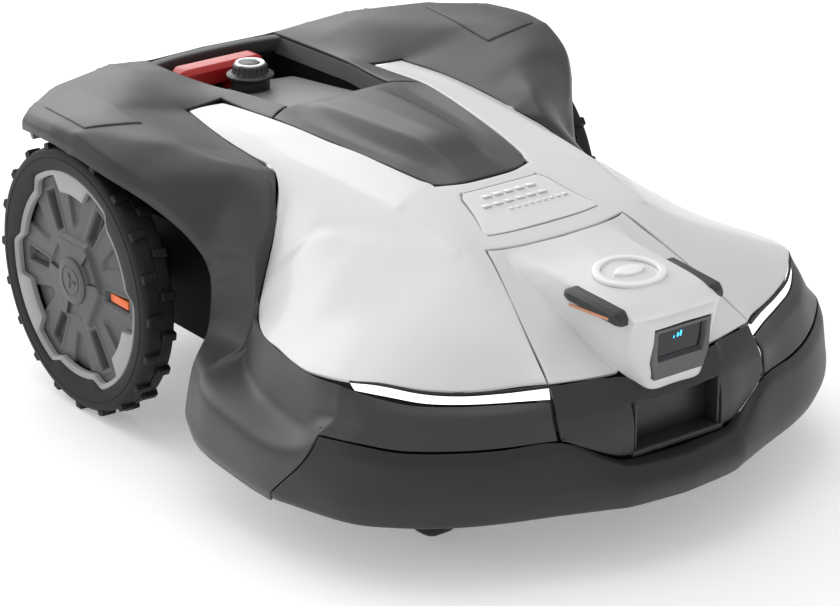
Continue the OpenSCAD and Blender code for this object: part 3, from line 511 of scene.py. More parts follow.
BAND = [
    [[256, 259, 267.3], [262, 258.5, 260], [263, 258, 251]],
    [[260, 235, 268.5], [265, 236, 261], [266, 236, 254]],
    [[261, 215, 269.3], [265.5, 214, 262], [266, 212, 254]],
    [[260.8, 206, 269.3], [265, 203, 262], [265.5, 200, 254]],
    [[259, 188, 268.8], [263, 186, 260], [264, 183, 251.5]],
    [[256.2, 173, 267.8], [261, 171, 259], [262, 168, 249.5]],
    [[249, 141, 256.8], [253.5, 142, 249], [254.5, 142, 241]],
    [[236.7, 118.7, 243.3], [241, 120, 236], [241.5, 120, 229.5]],
    [[222.5, 100, 231.4], [228, 103, 225], [229, 107, 217.5]],
    [[207, 83.4, 219.5], [214, 84.5, 210], [215, 85, 200]],
    [[192, 66, 205], [203, 67, 193], [205.5, 68, 181]],
    [[190, 38, 194], [200, 48, 180], [203.5, 60, 167]],
    [[187.5, 13, 184], [196, 40, 170], [203.5, 58, 158]]]
SIDE = [
    [[203.5, 58, 158], [187.5, 13, 184], [192.5, 3, 156], [215, -24, 154.5], [232, -70, 154.5],
     [240.5, -110, 154.5], [246, -150, 155], [240, -179, 156]],
    [[205, 56, 146], [193, 7, 158], [200, -2, 145], [220, -28, 144], [235.5, -71, 144],
     [243, -111, 144], [247, -151, 144], [243, -181, 146]],
    [[209, 52, 132], [202, 3, 138], [207, -4, 131], [225, -32, 130], [238.5, -72, 130],
     [244.5, -112, 130], [248, -152, 130], [246, -183, 131]],
    [[221, 40, 121], [214, -2, 122], [218, -10, 117], [234, -37, 115], [247, -75, 113],
     [252, -114, 111], [256, -150, 112], [261, -179, 119]],
    [[247, 22, 105], [255, -1, 107], [261, -12, 105], [269, -35, 101], [273, -72, 96],
     [275, -110, 92], [274, -140, 92], [271, -167.5, 92]],
    [[266, 7, 72], [270, -6, 66], [272, -16, 62], [274, -35, 59], [276, -72, 56.5],
     [277, -100, 55.5], [277, -118, 55], [276.5, -131, 55]],
    [[260, 3, 47], [263, -8, 46], [265, -18, 45.5], [267, -35, 44.5], [269, -72, 43.5],
     [270, -98, 43], [270, -113, 43], [270, -125, 43]]]
FRONT_BAND = [
    [[240, -179, 156], [228, -197, 151], [203, -223, 144.5], [170, -243, 141.5], [140, -259, 141],
     [107.5, -280, 142]],
    [[243, -181, 146], [232, -204, 142], [207, -230, 138], [174, -250, 136], [146, -265, 136],
     [110.2, -285, 136.5]],
    [[246, -183, 131], [234.5, -211, 130.5], [209.5, -234, 130], [177, -252.6, 130], [149.5, -268.4, 130],
     [112, -288, 130]],
    [[261, -179, 119], [247, -208.5, 119], [221.6, -233, 113.8], [190, -256.5, 113], [155.5, -275.5, 113],
     [109.5, -292.5, 113]]]
REAR_WALL = [
    [[0, 371, 246], [70, 357, 250], [98, 342, 258], [130, 324, 267], [150, 315, 268.9], [172, 306, 270],
     [218, 289, 270], [256, 259, 267.3]],
    [[0, 377, 230], [71, 370, 232], [99, 360, 238], [130, 345, 244], [153, 334, 248], [176, 322, 250],
     [222, 300, 250], [252, 268, 251]],
    [[0, 378, 205], [72, 374, 205], [100, 369, 205.5], [128, 361, 207], [153, 352, 208.5], [178, 342, 210],
     [206, 326, 213], [228, 303, 222]]]
REAR_LOW = [
    [[0, 378, 205], [72, 374, 205], [100, 369, 205.5], [128, 361, 207], [153, 352, 208.5], [178, 342, 210]],
    [[0, 376, 150], [72, 373, 150], [100, 369, 150], [130, 363, 150], [158, 355, 150], [188, 345, 150]],
    [[0, 368, 90], [70, 365, 90], [98, 361, 90], [128, 356, 90], [157, 348, 90], [186, 338, 90]],
    [[0, 356, 70], [68, 353, 70], [96, 349.5, 70], [124, 345, 70], [152, 337.5, 70], [180, 328, 70]]]
RIM_STRIP = [
    [[55, 153, 258.5], [68, 148, 258], [81.4, 138.8, 256.7]],
    [[58, 182, 257.5], [70, 180, 256.5], [82.9, 178, 254.4]],
    [[64, 219, 256.5], [74, 219, 255], [83.7, 218.6, 253]]]
BUMPER = [
    [[0, -311, 86], [50, -309.5, 88], [66, -306.5, 92], [108.6, -293.5, 112], [155.6, -276.5, 112],
     [190.5, -257.5, 112], [222, -234, 112.8], [247.5, -209.5, 118], [262, -180.5, 118.5]],
    [[0, -326, 84], [50, -322, 86], [68, -316, 90], [109, -299, 106], [156.5, -282, 103],
     [193, -263, 103], [225, -239, 104], [251, -212, 107], [267, -176, 104]],
    [[0, -333, 76], [50, -328, 77], [70, -321, 79], [110, -304, 84], [158.5, -286, 84],
     [196, -266, 84], [229, -240, 84], [256, -208, 85], [273, -164, 86]],
    [[0, -335, 66], [50, -330, 66], [70, -323, 66], [110, -306, 66], [159, -287, 66],
     [196, -267, 66], [230, -241, 66], [258, -206, 67], [275, -147.2, 70]],
    [[0, -325, 49], [50, -320, 49], [70, -313, 49], [110, -297, 49], [156, -280, 49],
     [192, -262, 49], [226, -236, 49], [254, -202, 50], [276.5, -131.6, 54]],
    [[0, -312, 45], [49, -307, 45], [69, -301, 45], [107, -287, 45], [152, -271, 45],
     [187, -254, 45], [220, -229, 45], [247, -197, 45], [269, -126.8, 45]]]
CHIN = [
    [[105.7, -275.5, 153], [84, -280, 153], [64.5, -284.5, 153], [58, -289, 153]],
    [[107, -283, 141], [82, -292, 141], [63, -298, 141], [52, -301, 141]],
    [[109, -288.5, 130], [84, -297, 130], [63, -303.5, 132], [46, -306.5, 134]],
    [[108, -293, 114.5], [84, -301, 112], [63, -308, 112], [46, -310.5, 114]],
    [[107, -293, 113.5], [86, -301.5, 103], [64, -308.5, 93.5], [46, -310.5, 90]]]
LED = [
    [[233, -183, 157.5], [217.5, -204.5, 157.5], [194.5, -225.5, 152.5], [167, -240, 148.5],
     [139, -254.5, 148.3], [106.8, -276.3, 152]],
    [[232, -188, 152.5], [215.5, -209, 150], [194, -228.5, 145.5], [167, -243, 142.5],
     [139, -258.3, 142], [107.3, -279, 143.5]]]
CAP = [
    [[193, 280, 271.9], [217, 266, 273], [244, 251, 271.7]],
    [[190, 226, 271.7], [218, 220, 273.5], [246, 216, 272.5]],
    [[189, 178, 267.9], [218, 178, 271.7], [246, 182, 271.4]]]
DECK = [
    [[0, 156.5, 251], [26, 156.5, 251], [54, 156.5, 251]],
    [[0, 175, 241], [26, 175, 241], [55, 175, 241]],
    [[0, 225, 233], [27, 225, 233], [56, 225, 233]],
    [[0, 290, 225], [28, 290, 225], [58, 288, 225]],
    [[0, 313, 222], [28, 313, 222], [58, 306, 222.5]]]


# ---------- shell ----------
def rear_shell():
    top = [f + [BAND[i][0]] + BAND[i][1:] for i, f in enumerate(FENDER)]
    outer = soften(patch(top, 8, 8, bv=(4,)), 1, 32, 1)
    inner = patch(DECK_TOP, 8, 8)[:25]
    strip = snap(patch(RIM_STRIP, 6, 3), 0, -1, inner[24, :7], 8)
    side = patch(SIDE, 8, 16, bu=(2, 5), bv=(1,))
    side = soften(side, 0, 16, 5)
    side = soften(side, 0, 40, 3)
    side = soften(side, 1, 16, 2)
    side[0, :17] = outer[96, 32:49][::-1]
    band = soften(patch(FRONT_BAND, 8, 8, bu=(2,)), 0, 16, 6)
    band = snap(band, 1, 1, side[:25, -1], 6)
    wall = both(patch(REAR_WALL, 8, 8))
    low = both(patch(REAR_LOW, 8, 8))
    low[0] = wall[16, 16:97]
    hood_edge = curve([r[3] for r in ARM], 32)[160:193]
    fill = np.array([outer[96, :33] * (1 - k) + hood_edge * k for k in np.linspace(0, 1, 17)])
    fill = snap(fill, 1, -1, side[0, 16:33], 12)
    half = [outer, inner, strip, side, band, fill]
    grids = half + [mirror(g) for g in half] + [wall, low]
    panel("Body_rear_shell", grids, "shell_grey", ("rear_shell",), relax=3,
          hold=lambda p: ((p[:, 2] < 150) & (p[:, 1] < 100)) | ((np.abs(p[:, 0]) > 185) & (p[:, 1] < 120)),
          fair=(16, lambda p: (p[:, 1] > 172) & (p[:, 1] < 292) & (p[:, 2] > 246) & (np.abs(p[:, 0]) < 240)))


def hood():
    arm = patch(ARM, 8, 10, bv=(1,))
    smooth = patch(ARM, 8, 10)
    k = smooth01((np.arange(len(arm)) / 8 - 8.2) / 1.8)[:, None, None]
    arm = arm * (1 - k) + smooth * k
    arm = soften(arm, 1, 10, 1)
    half = [arm, snap(patch(BRIDGE, 4, 8), 1, -1, arm[64:81, 0], 10)]

    def pad(p):
        """A raised pad on each arm, with a shallow fold along its edge."""
        q = np.stack([np.abs(p[:, 0]), p[:, 1]], 1)
        d = to_line(q, curve(PAD_FOLD, 6))
        lift = 1.5 * smooth01((-d + 3) / 6) - 0.7 * np.exp(-((d - 4) / 6) ** 2)
        fade = smooth01((q[:, 1] + 146) / 50) * smooth01((200 - q[:, 0]) / 30) * smooth01((q[:, 0] - 84) / 14)
        return lift * fade

    def off_ridge(p):
        ridge = np.interp(p[:, 1], [-150, -80, 172], [99, 107.5, 111])
        return np.abs(np.abs(p[:, 0]) - ridge) > np.where(p[:, 1] > -150, 5, 0)
    panel("Body_hood", half + [mirror(g) for g in half], "hood_white", ("hood",), relax=2, relief=pad,
          fair=(45, off_ridge))


def insert():
    half = soften(patch(INSERT, 10, 8, bv=(1, 3)), 1, 8, 1)
    half = soften(half, 1, 24, 2)
    panel("Body_centre_insert", [both(half)], "insert_grey", ("centre_insert",), relax=1)


def nose():
    top = soften(patch(NOSE, 10, 16, bv=(1, 2)), 1, 16, 2)
    top = soften(top, 1, 32, 2)
    face = patch(NOSE_FACE, 4, 16)
    top[50, :17] = face[0, ::2]
    face = both(snap(face[:, ::2], 1, -1, top[50, 16:33], 8))
    bm = weld([top, mirror(top)])
    rows = [[bm.verts.new(p) for p in r] for r in face]
    mid = len(rows[0]) // 2
    for i in range(len(rows) - 1):
        for j in range(len(rows[0]) - 1):
            from_mid = j - mid if j >= mid else mid - 1 - j
            if not (4 <= i < 12 and from_mid < 8):      # the opening behind the sensor frame
                bm.faces.new([rows[i][j], rows[i + 1][j], rows[i + 1][j + 1], rows[i][j + 1]])
    loose = [v for v in bm.verts if not v.link_faces]
    bmesh.ops.delete(bm, geom=loose, context="VERTS")
    bmesh.ops.remove_doubles(bm, verts=bm.verts, dist=0.05)
    bmesh.ops.recalc_face_normals(bm, faces=bm.faces)
    v, fs = shell_of(bm, core=(0, -235, 130), relax=1, hold=lambda p: (p[:, 1] < -300) & (p[:, 2] < 198))
    scene_mesh("Body_nose_cover", (v, fs), "hood_white", ("nose_cover",))


def emblem():
    """A plain raised oval ring with a leaf in it, following the slope of the nose."""
    a, b, w, h = 31.5, 28, 6.2, 1.5
    t = np.radians(np.arange(96) * 3.75)
    rings = [np.stack([(a - k) * np.cos(t), (b - k) * np.sin(t), np.full(96, z)], 1) for k, z in (
        (0, -1.2), (0, h - 0.5), (0.35, h - 0.15), (0.8, h), (w - 0.8, h), (w - 0.35, h - 0.15), (w, h - 0.5),
        (w, -1.2))]
    oval = hoop(rings)
    s = np.linspace(-1, 1, 25)
    leaf = np.concatenate([np.stack([s * 16, 8.4 * (1 - s ** 2)], 1),
                           np.stack([s[-2:0:-1] * 16, -8.4 * (1 - s[-2:0:-1] ** 2)], 1)])
    rings = [np.column_stack([leaf * k, np.full(len(leaf), z)]) for k, z in (
        (1, -1.2), (1, 0.9), (0.96, 1.3), (0.9, 1.45), (0.2, 1.5))]
    v, f = joined([oval, loft(rings)])
    out = v.copy()
    out[:, 1] += -246
    slope = np.interp(out[:, 1], (-292, -262, -225, -195), (210.5, 215.5, 218, 218.3))
    out[:, 2] = slope - 4.0 * (np.abs(v[:, 0]) / 49.5) ** 2 * 0.9 + v[:, 2] + 0.35
    scene_mesh("Nose_emblem", (out, f), "mark_white", ("emblem",))


def sensor():
    def at(o, depth):
        return np.stack([o[:, 0], -311.2 + 0.087 * (169.5 - o[:, 1]) + depth, o[:, 1]], 1)
    big = outline([[-29.9, 192.9], [-30.4, 165], [-26, 148.2], [26, 148.2], [30.4, 165], [29.9, 192.9]], 2.2)
    win = outline([[-25.2, 189.6], [-25.2, 176], [-23.6, 164.2], [23.6, 164.2], [25.2, 176], [25.2, 189.6]], 1.4)
    back = outline([[-23.6, 188.4], [-23.6, 176], [-22.4, 166.6], [22.4, 166.6], [23.6, 176], [23.6, 188.4]], 1.2)
    c = np.array([0, 170.5])
    v, f = hoop([at(back, 9), at(big, 9), at(big, 1.2), at(c + (big - c) * 0.99, 0.5),
                 at(c + (big - c) * 0.975, 0.2), at(c + (win - c) * 1.03, 0.2), at(c + (win - c) * 1.012, 0.4),
                 at(win, 0.9), at(back, 5.0)])
    scene_mesh("Nose_sensor_frame", (v, f), "frame_grey", ("sensor_frame",), sharp=30)
    scene_mesh("Nose_sensor_window", loft([at(back - (back - c) * 0.003, 4.4 + k) for k in (0, 3.0)]),
               "dark_glass", ("sensor_window",), sharp=30)
    # painted reflection: three small slanted bars that glow blue inside the dark window, as glints
    marks = []
    for x, z, w, h in ((-1.5, 182.2, 1.5, 3.4), (1.6, 183.0, 1.7, 4.6), (-5.4, 181.2, 0.9, 2.2)):
        y = -311.2 + 0.087 * (169.5 - z) + 4.2
        marks.append(put(box_round(w, 0.5, h, 0.2, 2), (x, y, z), (0, 12, 0)))
    scene_mesh("Nose_sensor_painted_glints", joined(marks), "blue_light")


def contact_bars():
    a, b = np.array([50.8, -229.5, 206.4]), np.array([49.8, -299.5, 202.6])
    way = (b - a) / np.linalg.norm(b - a)
    side = np.array([1.0, 0, 0])
    side -= way * (side @ way)
    side /= np.linalg.norm(side)
    up = np.cross(side, way)
    up *= np.sign(up[2])
    sec = outline([[-6.2, -4.8], [5.2, -4.8], [6.9, -2.6], [6.9, 2.8], [4.0, 6.4], [-4.4, 6.4], [-6.2, 4.2]],
                  0.9, 4)
    end = np.linalg.norm(b - a)
    stations = [(0, 0.52, -1.6), (0.8, 0.62, -1.3), (6.5, 0.97, -0.1), (8, 1, 0), (end - 7, 1, 0),
                (end - 5.5, 0.98, -0.1), (end - 0.9, 0.66, -1.2), (end, 0.56, -1.4)]
    bar = loft([a + way * s + np.outer(sec[:, 0] * k, side) + np.outer(sec[:, 1] * k + dz, up)
                for s, k, dz in stations])
    scene_mesh("Nose_contact_bars", paired(bar), "bar_black", ("contact_bars",), sharp=30)
    strip = put(box_round(1.5, 48, 2.4, 0.5, 2), (57.3, -264, 201.0), (-3.2, 0, -1))
    scene_mesh("Nose_charge_strips", paired(strip), "copper", ("charge_strips",), sharp=30)


def lights():
    half = patch(LED, 6, 10)
    panel("Front_led_strips", [half, mirror(half)], "led_white", ("led_strips",), thick=3.0, gap=0.2, lip=0.5,
          core=(0, 0, 120))
    c = curve(LED[0], 10)
    t = np.gradient(c, axis=0)
    t /= np.linalg.norm(t, axis=1)[:, None]
    out = np.cross(t, [0, 0, 1])
    out /= np.linalg.norm(out, axis=1)[:, None]
    out *= np.sign(out @ np.array([0, -1, 0]))[:, None]
    rings = []
    for p, o in zip(c, out):
        q = p + o * 0.9 + np.array([0, 0, 1.15])
        rings.append(np.array([q, q + [0, 0, 1.5], q - o * 2.2 + [0, 0, 1.7], q - o * 2.4 + [0, 0, -0.1]]))
    scene_mesh("Front_led_trims", paired(loft(rings)), "gap_black", ("led_trims",), sharp=30)


def chin():
    """The panel under the nose, with the recess for the dock."""
    half = soften(patch(CHIN, 6, 8, bu=(2,)), 0, 12, 2)
    top = patch([[[0, -303, 141], [30, -298, 145.5], [44, -291.5, 151.5], [58, -289, 153]],
                 [[0, -307.5, 138], [25, -305.8, 139], [38, -303.5, 140], [52, -301, 141]],
                 [[0, -310, 133], [22, -309.5, 133.5], [34, -308.2, 133.8], [46, -306.5, 134]]], 6, 6)
    top = snap(top, 1, -1, half[:13, -1], 8)
    panel("Front_chin_panel", [half, mirror(half), both(top)], "chin_grey", near=0.08, core=(0, -200, 120),
          thick=2.2)
    parts = [put(box_round(93, 2.4, 44, 0.8), (0, -291.5, 113)),
             put(box_round(95, 22, 5, 1.6), (0, -300.8, 91)),
             put(box_round(90, 15, 2.4, 0.8), (0, -300, 134.6)),
             put(box_round(2.4, 18, 44, 0.8), (44.5, -300.5, 112), (0, 0, -6)),
             put(box_round(2.4, 18, 44, 0.8), (-44.5, -300.5, 112), (0, 0, 6))]
    seam = curve([[104.5, -268, 156], [105, -276, 141], [106.5, -281, 130], [106.5, -286, 114]], 6)
    rings = [np.array([q + [i, 0.5 * i + j, 0] for i, j in ((-9, 0), (9, 0), (9, 2.4), (-9, 2.4))]) for q in seam]
    parts.append(paired(loft(rings)))
    scene_mesh("Front_dock_recess", joined(parts), "chin_grey", ("chin_panel",), sharp=35)


def bumper():
    """The soft bumper, and a near-black liner behind the seam along its top: painted shade, so the seam reads as a
    dark line.
    """
    half = soften(patch(BUMPER, 6, 10, bu=(1, 4)), 0, 6, 2)
    half = soften(half, 0, 24, 3)
    # a near-black sheet behind the top seam: painted shade in the gap, in place of the shaded inside of the body
    seam = curve(BUMPER[0], 10)
    seam = np.concatenate([seam, curve([r[8] for r in BUMPER], 8)[1:]])
    rings = []
    for k, q in enumerate(seam):
        t = seam[min(k + 1, len(seam) - 1)] - seam[max(k - 1, 0)]
        t /= np.linalg.norm(t)
        inward = np.array([-q[0], -60 - q[1], 0])
        inward /= np.linalg.norm(inward)
        up = np.cross(t, inward)
        up /= np.linalg.norm(up)
        up *= 1 if (up[2] > 0 or k > 85) else -1
        rings.append(np.array([q + inward * i + up * j for i, j in ((7, -9), (7, 5), (8.5, 5), (8.5, -9))]))
    scene_mesh("Front_seam_painted_shade_liner", paired(loft(rings)), "inner_black", sharp=35)
    panel("Front_bumper", [both(half)], "bumper_grey", ("bumper",), relax=2, core=(0, -60, 80), thick=4.5,
          lip=1.2)


def caps():
    """The fender panels, laid 0.9 mm above the fenders."""
    half = patch(CAP, 14, 12)
    base = patch([f + [BAND[i][0]] for i, f in enumerate(FENDER)], 8, 8, bv=()).reshape(-1, 3)
    for row in half:
        for q in row:
            d = np.hypot(base[:, 0] - q[0], base[:, 1] - q[1])
            k = np.argsort(d)[:5]
            w = 1 / (d[k] + 0.5)
            q[2] = (base[k, 2] * w).sum() / w.sum() + 0.9
    panel("Body_fender_caps", [half, mirror(half)], "cap_grey", ("fender_caps",), lip=1.5, gap=0.2, thick=2.6,
          core=(0, 200, 0))


def name_plate():
    """A plain plate on the hood with three rows of raised blocks."""
    us, vs = np.linspace(0.23, 0.74, 17), np.linspace(-0.95, 0.95, 31)
    fall = 0.245        # slope of the hood here
    g = []
    for u in us:
        v = np.abs(vs) * (0.80 + 0.15 * (u - 0.23) / 0.51)
        p = patch_at(BRIDGE, np.full(len(vs), u), v)
        p[:, 0] *= np.sign(vs)
        g.append(p)
    g = np.array(g)
    for k, cut in ((0, 4.6), (1, 1.8)):
        for i, q in ((k, 1), (len(us) - 1 - k, -1)):
            g[i, 0, 0] += cut
            g[i, -1, 0] -= cut
    g[:, :, 2] += 0.85
    # a grey sheet lying just under the plate's edge shows as a thin grey outline: painted shade in the groove round
    # the plate
    rim = g.copy()
    mid = rim.mean((0, 1))
    rim[:, :, :2] = mid[:2] + (rim[:, :, :2] - mid[:2]) * np.array([1.018, 1.045])
    rim[:, :, 2] += -0.28 - (rim[:, :, 1] - g[:, :, 1]) * -fall
    panel("Hood_plate_groove_painted_shade", [rim], "seam_grey", slot="plate_white", lip=0.15, gap=0.0, thick=0.6,
          core=(0, -100, 0))
    panel("Hood_name_plate", [g], "plate_white", ("name_plate",), lip=0.5, gap=0.0, thick=1.0,
          core=(0, -100, 0))
    parts = []
    for y, n, w, h, s in ((-89, 5, 8.2, 6.6, 0), (-101, 6, 8.2, 6.6, -3), (-112, 9, 4.2, 4.0, 12)):
        for i in range(n):
            x = (i - (n - 1) / 2) * (w + 2.2) + s
            z = 240.45 + (y + 80) * fall
            parts.append(put(box_round(w * 1.12, h * 1.12, 1.6, 0.5, 2), (x * 1.12, y, z + 0.95), (-13.5, 0, 0)))
    scene_mesh("Hood_plate_marks", joined(parts), "mark_white", sharp=35)


def controls():
    half = patch(DECK, 8, 8)
    panel("Pocket_control_deck", [both(half)], "deck_grey", ("control_deck",), thick=2.4, up=True, lip=1.2)
    rim = [p[0] for p in RIM_STRIP] + [DECK_TOP[2][0], DECK_TOP[1][0], DECK_TOP[0][0]]
    c = curve(rim, 8)
    rings = []
    for p in c:
        rings.append(p + np.array([[1.6, 0, -2.6], [-0.4, 0, -3.4], [-5.2, 0, -17], [-3.2, 0, -18.4],
                                   [2.6, 0, -6]]))
    scene_mesh("Pocket_side_walls", paired(loft(rings)), "insert_grey", sharp=35)
    # lifting handle
    sec = outline([[0, 0], [0, 13], [9, 14], [12, 10], [12, 0]], 2.0, 4)
    rings = []
    for x in np.linspace(-72, 72, 37):
        y = 369.5 - 13.5 * (abs(x) / 72) ** 2.2
        top = 247 + 2.2 * (abs(x) / 72) ** 2
        rings.append(np.column_stack([np.full(len(sec), x), y - 13.5 + sec[:, 0], top - 14 + sec[:, 1]]))
    scene_mesh("Pocket_handle", loft(rings), "shell_grey", sharp=35)
    # stop bar: its shown top is off centre, its stem is not
    bar_x = -9
    sec = outline([[-10.5, -11], [10.5, -11], [11.5, 3], [8.5, 8.4], [-7.5, 8.4], [-11.5, 3.5]], 2.4, 5)
    rings = []
    for x, k, dz in ((-47, 0.60, -1.5), (-46.4, 0.7, -1.2), (-42, 0.93, -0.4), (-40, 0.985, -0.1), (-38, 1, 0),
                     (38, 1, 0), (40, 0.985, -0.1), (42, 0.93, -0.4), (46.4, 0.7, -1.2), (47, 0.60, -1.5)):
        rings.append(np.column_stack([np.full(len(sec), x + bar_x), 333 + sec[:, 0] * k, 235.5 + dz + sec[:, 1] * k]))
    body = loft(rings)
    stem = put(turned([(0.01, 0), (5.9, 0), (5.9, 34), (0.01, 34)], 40), (0, 330, 196))
    scene_mesh("Control_stop_bar", joined([body, stem]), "stop_red", ("stop_bar",), body="stop", sharp=35)
    # dial
    drum = put(turned([(0.01, 214), (17.6, 214), (18.2, 215), (18.2, 236), (17.6, 236.8), (0.01, 236.8)], 72),
               (0, 292, 0))
    scene_mesh("Control_dial_base", drum, "dial_black", ("dial_base",), body="dial_press", sharp=35)
    a = np.radians(np.arange(180) * 2)
    rings = []
    for r, z, rib in ((0.01, 237.4, 0), (19, 237.4, 0), (21.6, 238, 0), (22.2, 238.8, 0), (22.0, 240.2, 0),
                      (20.4, 241.2, 0.2), (17.6, 242, 0.8), (16.9, 243, 0.9), (16.2, 248, 0.9), (15.4, 249.4, 0.5),
                      (14.2, 250, 0), (0.01, 250, 0)):
        rr = r - rib * (0.5 + 0.5 * np.cos(18 * a)) ** 3
        rings.append(circle(rr, a, z))
    knob = put(loft(rings, close_ends=False), (0, 292, 0))
    scene_mesh("Control_dial_knob", knob, "dial_black", ("dial_knob",), body="dial", sharp=35)
    rim = put(turned([(9.2, 249), (9.2, 250.2), (9.6, 250.9), (11, 251.6), (13.4, 251.4), (14.1, 250.6),
                      (14.1, 249)], 72, closed=True), (0, 292, 0))
    cap = put(turned([(0.01, 249.6), (9.0, 249.6), (9.0, 250.6), (8.2, 251), (0.01, 251)], 72), (0, 292, 0))
    scene_mesh("Control_dial_ring", rim, "dial_silver", ("dial_ring",), body="dial", sharp=35)
    scene_mesh("Control_dial_centre", cap, "insert_grey", body="dial", sharp=35)


# ---------- wheels, drawn with the axle along +Z and the outer face at z = 32 ----------
WHEEL_X, WHEEL_Y, WHEEL_Z, TYRE_W = 250, 207, 122.5, 32


def wheel_piece(name, part, s, side, finish, node=None, sharp=35):
    """A piece of the wheel on one side, s being -1 for the right-hand one."""
    v, f = part
    v = np.stack([s * (WHEEL_X - TYRE_W + v[:, 2]), WHEEL_Y + v[:, 1], WHEEL_Z + v[:, 0]], 1)
    nodes = (node + side,) if node else ()
    f = f if s < 0 else [q[::-1] for q in f]
    scene_mesh(name + side, (v, f), finish, nodes, "wheel_" + side, sharp)


def bump_at(t, centre, half, ramp):
    """1 within half degrees of a centre angle, falling to 0 over ramp degrees."""
    d = np.abs((t - centre + 180) % 360 - 180)
    return 1 - smooth01((d - half) / ramp)


def ring_r(t):
    """Outer radius of the light ring: it steps inward at three tyre lobes."""
    r = np.full(len(t), 99.0)
    for c in (60, 180, 300):
        r -= 9.5 * bump_at(t, c, 17, 9)
    return r


def pad_in(t):
    """Inner radius of the light ring: three wide pads reach towards the hub."""
    r = ring_r(t) - 5.2
    for c in (0, 120, 240):
        r -= 15.0 * bump_at(t, c, 12.5, 5)
    return r


def tyre(s, side):
    n = 360
    t = np.arange(n) * 360.0 / n
    a = np.radians(t)
    lobe = ring_r(t) + 0.4
    prof = [(lobe - 4, 4), (lobe - 4, 20), (lobe - 1.0, 29.0), (lobe, 30.3), (lobe + 1.2, 31.0),
            (102.5, 31.7), (109.0, 31.9), (109.6, 31.2), (110.4, 31.2), (111.0, 31.8), (114.2, 31.5),
            (116.6, 30.4), (118.2, 28.2), (118.6, 25), (118.6, 17.2), (117.6, 16.6), (117.6, 15.4),
            (118.6, 14.8), (118.6, 7), (118.0, 3.6), (115.5, 1), (112, 0.3), (102, 0.3)]
    parts = [hoop([circle(r, a, z) for r, z in prof])]
    for i in range(20):
        for half, z0 in ((0, 16.6), (0.5, 1.8)):
            sec = outline([[-4.6, 0], [4.6, 0], [3.4, 5.3], [-3.4, 5.3]], 0.8, 3)
            rr = []
            for z, k, drop in ((z0, 0.9, 0.9), (z0 + 0.9, 1, 0.1), (z0 + 7, 1, 0), (z0 + 12.6, 1, 0.1),
                               (z0 + 13.6, 0.9, 1.0)):
                twist = (z - z0 - 7) * (0.10 if half else -0.10)
                rr.append(np.column_stack([117.2 + sec[:, 1] * (1 - drop / 5.3), sec[:, 0] * k + twist,
                                           np.full(len(sec), z)]))
            parts.append(put(loft(rr), turn=(0, 0, (i + half) * 18)))
    wheel_piece("Wheel_tyre_", joined(parts), s, side, "tyre_rubber", "tyre_", sharp=32)


SLOTS = range(30, 360, 60)
MARKED = 270            # the slot that holds the marker


def rim(s, side):
    """The spoked disc as a height field over radius and angle, with six slots and scooped facets between."""
    n = 720
    t = np.arange(n) * 360.0 / n
    a = np.radians(t)
    outer = pad_in(t) - 0.7
    radii = np.concatenate([[0.5], np.linspace(12, 97, 69)])
    rings = []
    for k, r0 in enumerate(radii):
        share = k / (len(radii) - 1)
        r = np.minimum(r0, outer - 0.02 * (len(radii) - 1 - k))
        z = 27.4 - 3.2 * (r / 90)
        # radial slots: light bevels round a dark recess
        near = np.full(n, 999.0)
        for c in SLOTS:
            d = np.radians((t - c + 180) % 360 - 180)
            x, y = r * np.cos(d), r * np.sin(d)
            box = np.maximum(np.maximum(47.5 - x, x - 81.5), np.abs(y) - (4.2 + 0.055 * (x - 47)))
            near = np.minimum(near, np.where(np.abs(d) < 0.6, box, 999))
        z = z - 5.4 * smooth01((1.2 - near) / 2.6)
        z = z + 0.9 * np.exp(-((near - 3.2) / 2.0) ** 2)
        # scooped facets between the slots
        for c in range(0, 360, 60):
            d = np.radians((t - c + 180) % 360 - 180)
            x, y = r * np.cos(d), r * np.sin(d)
            w = 3.0 + 0.30 * (x - 44)
            inside = smooth01((x - 46) / 10) * smooth01((w - np.abs(y)) / 3.5) * (np.abs(d) < 0.6)
            z = z - inside * (2.4 + 0.03 * (x - 46))
        # raised hexagon round the hub
        hexr = r * np.cos(np.radians((t + 30) % 60 - 30))
        z = z + 4.2 * smooth01((39.5 - hexr) / 4.5)
        recess = smooth01((36 - hexr) / 3.0) * smooth01((r - 22.5) / 2.0) * (np.abs(t % 120 - 60) < 22)
        z = z - 2.6 * recess
        rings.append(circle(r, a, z))
    rings += [circle(np.minimum(r, outer), a, z) for r, z in (
        (999, 22.0), (999, 6.0), (84, 5), (82, 18), (32, 18), (28, 4), (0.5, 4))]
    wheel_piece("Wheel_rim_", loft(rings), s, side, "rim_grey", "rim_", sharp=40)
    # dark floors of the slots
    parts = []
    for c in SLOTS:
        if c != MARKED:
            k = math.radians(c)
            at = (64.5 * math.cos(k), 64.5 * math.sin(k), 20.6)
            parts.append(put(box_round(26, 4.6, 2.0, 0.6, 2), at, (0, 0, c)))
    wheel_piece("Wheel_slots_", joined(parts), s, side, "rim_dark")


def ring(s, side):
    n = 720
    t = np.arange(n) * 360.0 / n
    a = np.radians(t)
    o, i = ring_r(t), pad_in(t)
    prof = [(i, 24.5), (i, 28.6), (i + 0.4, 29.2), (i + 0.9, 29.5), ((i + o) / 2, 30.2), (o - 1.6, 30.9),
            (o - 0.7, 30.7), (o - 0.1, 30.0), (o, 29.0), (o, 24.5)]
    wheel_piece("Wheel_trim_", hoop([circle(r, a, z) for r, z in prof]), s, side, "trim_light", "trim_")


